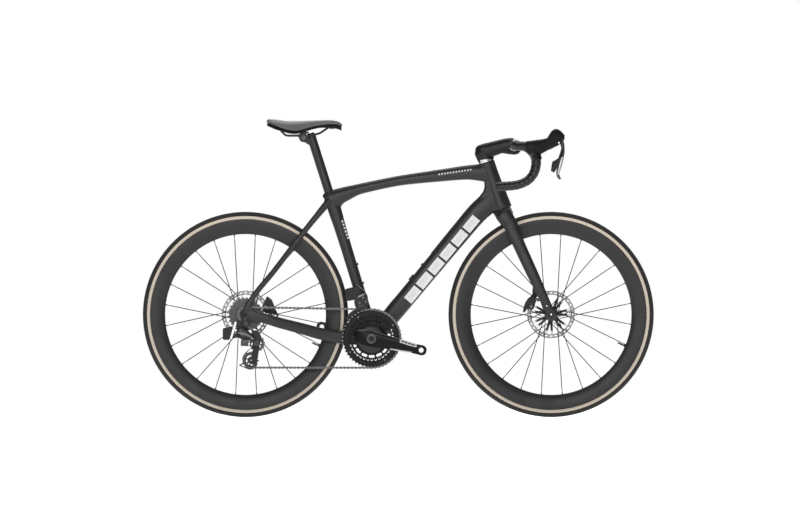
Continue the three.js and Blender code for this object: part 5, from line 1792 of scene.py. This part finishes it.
def build_cage():
    g, t = GUIDE, TENSION
    outline = smooth_loop([
        (g.x - 12, g.z + 14), (g.x + 4, g.z + 19), (g.x + 13, g.z + 12), (g.x + 10.5, g.z - 8),
        (g.x + 5, g.z - 46), (g.x + 1.5, g.z - 74), (t.x + 9, t.z - 28.5), (t.x - 6, t.z - 31.5),
        (t.x - 20, t.z - 26), (t.x - 36, t.z - 19.5), (t.x - 41, t.z - 17.5), (t.x - 37, t.z - 14),
        (t.x - 28.5, t.z - 8), (t.x - 29.5, t.z + 2), (t.x - 27.5, t.z + 13), (t.x - 19, t.z + 25),
        (t.x - 6, t.z + 38), (t.x + 4, t.z + 50),
    ], 3)
    windows = [
        arc_band(t, 12.5, 20.5, 88, 205, 10), arc_band(t, 12.5, 20.5, 228, 300, 10),
        [
            (t.x - 14, t.z + 25), (t.x - 4, t.z + 37), (t.x + 4, t.z + 46), (t.x + 6.5, t.z + 42),
            (t.x + 5.5, t.z + 25), (t.x - 4, t.z + 25),
        ],
        [(t.x - 33, t.z - 17), (t.x - 27, t.z - 13), (t.x - 19, t.z - 20), (t.x - 22, t.z - 21.5)],
    ]
    outer_y, inner_y = PULLEY_Y - 4.6, PULLEY_Y + 4.6
    outer = plate("outer", outline, outer_y - 1.5, outer_y, "arm_grey", windows, bevel=0.4)
    inner = plate("inner", outline, inner_y, inner_y + 1.4, "dark_steel", windows, bevel=0.4)
    spine = [
        (g.x + 0.5, outer_y - 2.2, g.z + 10, 11.6, 2.0),
        (g.x - 1, outer_y - 2.2, g.z - 9, 11.2, 2.0), (g.x - 4, outer_y - 2.2, g.z - 31, 9.4, 1.8),
        (g.x - 7, outer_y - 2, g.z - 51, 9.0, 1.6), (g.x - 10, outer_y - 1.8, g.z - 71, 8.2, 1.4),
    ]
    parts = [outer, inner, loft("spine", spine, "plastic", 24, 3, 5)]
    for at in (g, t):
        parts.append(drum("pin", at.x, at.z, 2.7, outer_y - 2.6, inner_y + 2.2, "steel", 0.4, 20))
        parts.append(
            drum(
                "boss", at.x, at.z, 8.6, outer_y - 2.6, outer_y - 1.2, "plastic", 0.5, 32, bore=2.7,
            )
        )
    parts.append(
        drum("tail", t.x - 36, t.z - 17.5, 2.0, outer_y - 1, inner_y + 1, "grey_steel", 0.3, 16)
    )
    return join("pulley_cage", parts)


piece(build_cage(), "derailleur_cage", "steel", "derailleur_cage")

HANGER = Vector((-508, 0, 312))


def build_derailleur():
    # fixed knuckle on the hanger, with the battery clipped on behind it
    battery = plate("battery", [
        (-584, 293), (-582, 297), (-553.5, 303), (-551, 300), (-561, 260), (-564, 257.5),
        (-581, 257.5), (-584, 261),
    ], -98.5, -79.5, "plastic", bevel=2.2)
    clip = plate("clip", [
        (-544, 319), (-537, 317), (-553, 261.5), (-561, 261),
    ], -97, -81, "spacer", bevel=0.8)
    knuckle = [drum("knuckle", HANGER.x, HANGER.z, 13, -95.5, -78, "black_alloy", 1.6, 40)]
    knuckle.append(drum("bolt", HANGER.x, HANGER.z, 7.5, -98, -95, "arm_grey", 0.8, 32, bore=3.4))
    knuckle.append(plate(
        "housing",
        smooth_loop([
            (-541, 318), (-518, 320), (-509, 313), (-510, 301), (-528, 298), (-546, 300),
            (-552, 292), (-549, 303),
        ], 3),
        -95.5, -81.5, "plastic", bevel=2,
    ))
    knuckle.append(plate("shelf", [
        (-566, 277), (-548, 280), (-531, 276), (-530, 266), (-552, 262), (-566, 264),
    ], -92, -82, "black_alloy", bevel=1.5))
    knuckle.append(rod("axis", (-525, -78.5, 290.5), (-525, -96.5, 290.5), 4.4, "arm_grey", 24))
    knuckle.append(rod("stop", (-514, -80, 323), (-507, -80, 330), 2.4, "grey_steel", 16))
    body = join("derailleur_base", [battery, clip, *knuckle])
    piece(body, "frame", "black_alloy", "derailleur_body")

    # parallelogram: an outer shell with ribs, the motor block below it
    outline = smooth_loop([
        (-536, 294), (-524, 299), (-508, 294), (-489, 279), (-476, 266), (-474, 255), (-484, 250),
        (-499, 256), (-519, 259), (-536, 268), (-541, 282),
    ], 3)
    shell = plate("shell", outline, -91.5, -82.8, "gloss_black", bevel=2)
    face = plate("face", [
        (-527, 289), (-512, 287), (-497, 275), (-500, 268), (-521, 270), (-531, 279),
    ], -93.2, -91, "arm_grey", bevel=0.8)
    rib = plate("rib", [
        (-533, 284), (-500, 276), (-480, 262), (-482, 259.5), (-502, 272.5), (-534, 280.5),
    ], -94.6, -92.8, "grey_steel", bevel=0.4)
    motor = block("motor", -524, -498, -92, -80, 237, 259, "arm_grey", 2.4, math.radians(3))
    pins = []
    for x, z in ((-525, 287.5), (-487, 262)):
        pins.append(drum("pin", x, z, 3.2, -94, -81, "grey_steel", 0.5, 20))
    piece(
        join("derailleur_parallelogram", [shell, face, rib, motor, *pins]), "derailleur_link",
        "black_alloy", "derailleur_link",
    )

    outline = smooth_loop([
        (-491, 276), (-485, 286), (-474, 289.5), (-463, 283), (-457.5, 272), (-457, 258),
        (-459.5, 244), (-466, 236.5), (-478, 237), (-484.5, 246), (-489, 262),
    ], 4)
    shell = plate("shell", outline, -84.5, -66, "black_alloy", bevel=2.4)
    cap = drum("cap", GUIDE.x, GUIDE.z, 8.5, -86.5, -84, "arm_grey", 1.2, 40, bore=3)
    ear = block("ear", -494, -481, -92, -80, 254, 270, "black_alloy", 2)
    piece(
        join("derailleur_lower_knuckle", [shell, cap, ear]), "derailleur_knuckle", "black_alloy",
        "derailleur_knuckle",
    )


build_derailleur()

# ---------------------------------------------------------------- front derailleur


def build_front_derailleur():
    battery = plate(
        "battery",
        smooth_loop([
            (-177, 424), (-169, 429), (-148, 434), (-139, 437), (-122, 424), (-128, 408),
            (-140, 394), (-160, 388), (-173, 389), (-178, 404),
        ], 3),
        -44.5, -25, "plastic", bevel=2.6,
    )
    motor = plate(
        "motor",
        smooth_loop([
            (-146, 404), (-130, 412), (-112, 416), (-103, 406), (-101, 392), (-102, 374),
            (-111, 362), (-128, 358), (-141, 364), (-147, 382),
        ], 3),
        -41, -22, "black_alloy", bevel=2.4,
    )
    parts = [battery, motor]
    clip = [(x, -34.8, z) for x, z in ((-141, 441), (-130, 434), (-117, 423), (-112, 420))]
    parts.append(sweep("clip", clip, 1.4, "grey_steel", 12, 5, 4.2))
    parts.append(plate("rib", [
        (-143, 399), (-116, 412), (-113, 408), (-140, 395),
    ], -43.5, -40.5, "grey_steel", bevel=0.5))
    parts.append(plate(
        "arm",
        smooth_loop([
            (-134, 372), (-116, 376), (-108, 366), (-112, 352), (-126, 350), (-136, 358),
        ], 3),
        -45.5, -41, "arm_grey", bevel=1.2,
    ))
    for x, z in ((-128, 380), (-108, 384), (-117, 398), (-124, 362)):
        parts.append(drum("bolt", x, z, 3.2, -43.4, -40, "grey_steel", 0.5, 20, bore=1.5))
    parts.append(drum("mount", -108, 392, 6, -24, -12, "black_alloy", 0.8, 24))
    piece(join("front_shifter_body", parts), "frame", "black_alloy", "front_derailleur_body")

    tip = pitch_radius(RING_TEETH) + 4.4
    cage = []
    for name, band, y0, y1, bevel in (
        ("outer", (tip - 2.2, 110.5, 97, 143, 24), -6.4, -5.2, 0.35),
        ("inner", (93, 112, 97, 143, 24), 5.2, 6.4, 0.35),
        ("bridge", (107.4, 110.4, 98, 112, 6), -6, 6, 0.5),
        ("tail", (107, 110.4, 137, 143, 4), -6, 6, 0.5),
    ):
        outline = arc_band(BB, *band)
        cage.append(plate(name, outline, RING_Y + y0, RING_Y + y1, "gloss_black", bevel=bevel))
    piece(join("front_shifter_cage", cage), "front_cage", "steel", "front_derailleur_cage")


build_front_derailleur()

# ---------------------------------------------------------------- disc brakes


def build_pad(name, side, body):
    low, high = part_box(name)
    y0, y1 = low[1] / MM, high[1] / MM
    c = centre(name)
    outline = smooth_loop([
        (c.x - 7, c.z - 6.6), (c.x + 7, c.z - 6.6), (c.x + 8.4, c.z), (c.x + 7, c.z + 6.6),
        (c.x - 7, c.z + 6.6), (c.x - 8.4, c.z),
    ], 3)
    inward = 1 if side < 0 else -1
    rotor_face, back = (y1, y0) if side < 0 else (y0, y1)
    lining = plate(
        "lining", outline, *sorted((rotor_face, rotor_face - inward * 1.9)), "plastic", bevel=0.3,
    )
    plate_ = plate(
        "backing", outline, *sorted((rotor_face - inward * 1.9, back)), "grey_steel", bevel=0.2,
    )
    piece(join(name + "_block", [lining, plate_]), body, "dark_steel", name)


for wheel in ("front", "rear"):
    for word, side in (("inner", -1), ("outer", 1)):
        build_pad(f"{wheel}_{word}_pad", side, f"{wheel}_{word}_pad")


def build_caliper(name, axle, rotor_y, angle, outline, bridge, foot, body):
    px, pz = polar(71, math.radians(angle), axle.x, axle.z)
    parts = []
    for side in (-1, 1):
        y0, y1 = rotor_y + side * 5.4, rotor_y + side * 11.4
        hole = circle(px, pz, 9.6, 24)
        parts.append(plate(
            "half", outline, *sorted((rotor_y + side * 1.9, y0)), "black_alloy", [hole], bevel=0.5,
        ))
        parts.append(plate(
            "cover", smooth_loop(outline, 2), *sorted((y0 - side * 0.4, y1)), "black_alloy",
            bevel=1.8,
        ))
        parts.append(
            drum("piston", px, pz, 10.8, y1 - side * 0.5, y1 + side * 2.6, "gloss_black", 1, 40)
        )
        parts.append(
            drum("hex", px, pz, 4.2, y1 + side * 2.2, y1 + side * 3.2, "grey_steel", 0.4, 6)
        )
    parts.append(plate("bridge", bridge, rotor_y - 8, rotor_y + 8, "black_alloy", bevel=1.2))
    parts += foot
    piece(join(name + "_body", parts), body, "black_alloy", name)


front_y, rear_y = centre("front_rotor").y, centre("rear_rotor").y
build_caliper(
    "front_caliper", FRONT, front_y, 158,
    [
        (447, 408), (441, 402), (433, 396.5), (424, 383), (419, 369), (416.5, 354), (425, 354),
        (430, 361), (446, 366), (456, 375), (458, 388), (455, 398), (462, 406),
    ],
    [
        (433, 396), (423, 382), (417, 365), (415, 349), (422, 349), (427, 357), (431, 372),
        (440, 388),
    ],
    [
        plate("mount", [
            (448, 436), (446.5, 410), (441, 401), (452, 390), (459, 397), (466, 404), (461, 420),
            (456, 436),
        ], front_y - 3, 50, "black_alloy", bevel=1.5),
        rod("bolt", (462, 46, 396), (468, 46, 385), 3.4, "grey_steel", 20),
    ],
    "steering",
)
build_caliper(
    "rear_caliper", REAR, rear_y, 22,
    [
        (-453, 352), (-450, 374), (-443, 392), (-437.5, 402.5), (-430, 397), (-421, 389),
        (-414, 372), (-409, 356), (-420, 347), (-440, 346),
    ],
    [
        (-436, 403), (-421, 391), (-412, 364), (-405, 352), (-400, 338), (-412, 341), (-426, 345),
        (-426, 362), (-430, 380),
    ],
    [
        rod("bolt", (-428, rear_y, 338), (-426, rear_y, 350), 3.6, "grey_steel", 24),
        rod("bolt", (-404, rear_y - 1, 330), (-402, rear_y - 1, 344), 3.6, "grey_steel", 24),
        rod("bleed", (-447, rear_y + 9, 384), (-449, rear_y + 9, 390), 2.4, "grey_steel", 16),
    ],
    "frame",
)

# ---------------------------------------------------------------- storage hatch


def build_hatch():
    lid = tube_block("lid", 20.3, 215.7, 25.6, 31.4, 12.8, "plastic", 2.2)
    carve(lid, tube_block("recess", 96.5, 129, 27.2, 45, 7.2, "plastic", 0.8))
    parts = [lid]
    a, b, c = (down_tube_point(169, up) for up in (30, 32.6, 35.4))
    parts.append(rod("boss", a, b, 5.4, "black_alloy", 32, 5.0))
    parts.append(rod("bolt", b, c, 4.1, "black_alloy", 28, 3.4))
    piece(join("hatch_lid", parts), "hatch", "plastic", "storage_hatch")

    lever = tube_block("lever", 101.6, 123.8, 27.6, 35.6, 5.8, "black_alloy", 1.1)
    heel = rod(
        "heel", down_tube_point(101.5, 29.6, -5.8), down_tube_point(101.5, 29.6, 5.8), 2.15,
        "black_alloy", 24,
    )
    grip = [
        tube_block("ridge", a, a + 1.2, 33.1, 33.8, 4.6, "black_alloy", 0.25)
        for a in (113, 116, 119)
    ]
    piece(join("hatch_lever", [lever, heel, *grip]), "latch", "black_alloy", "hatch_latch")


build_hatch()
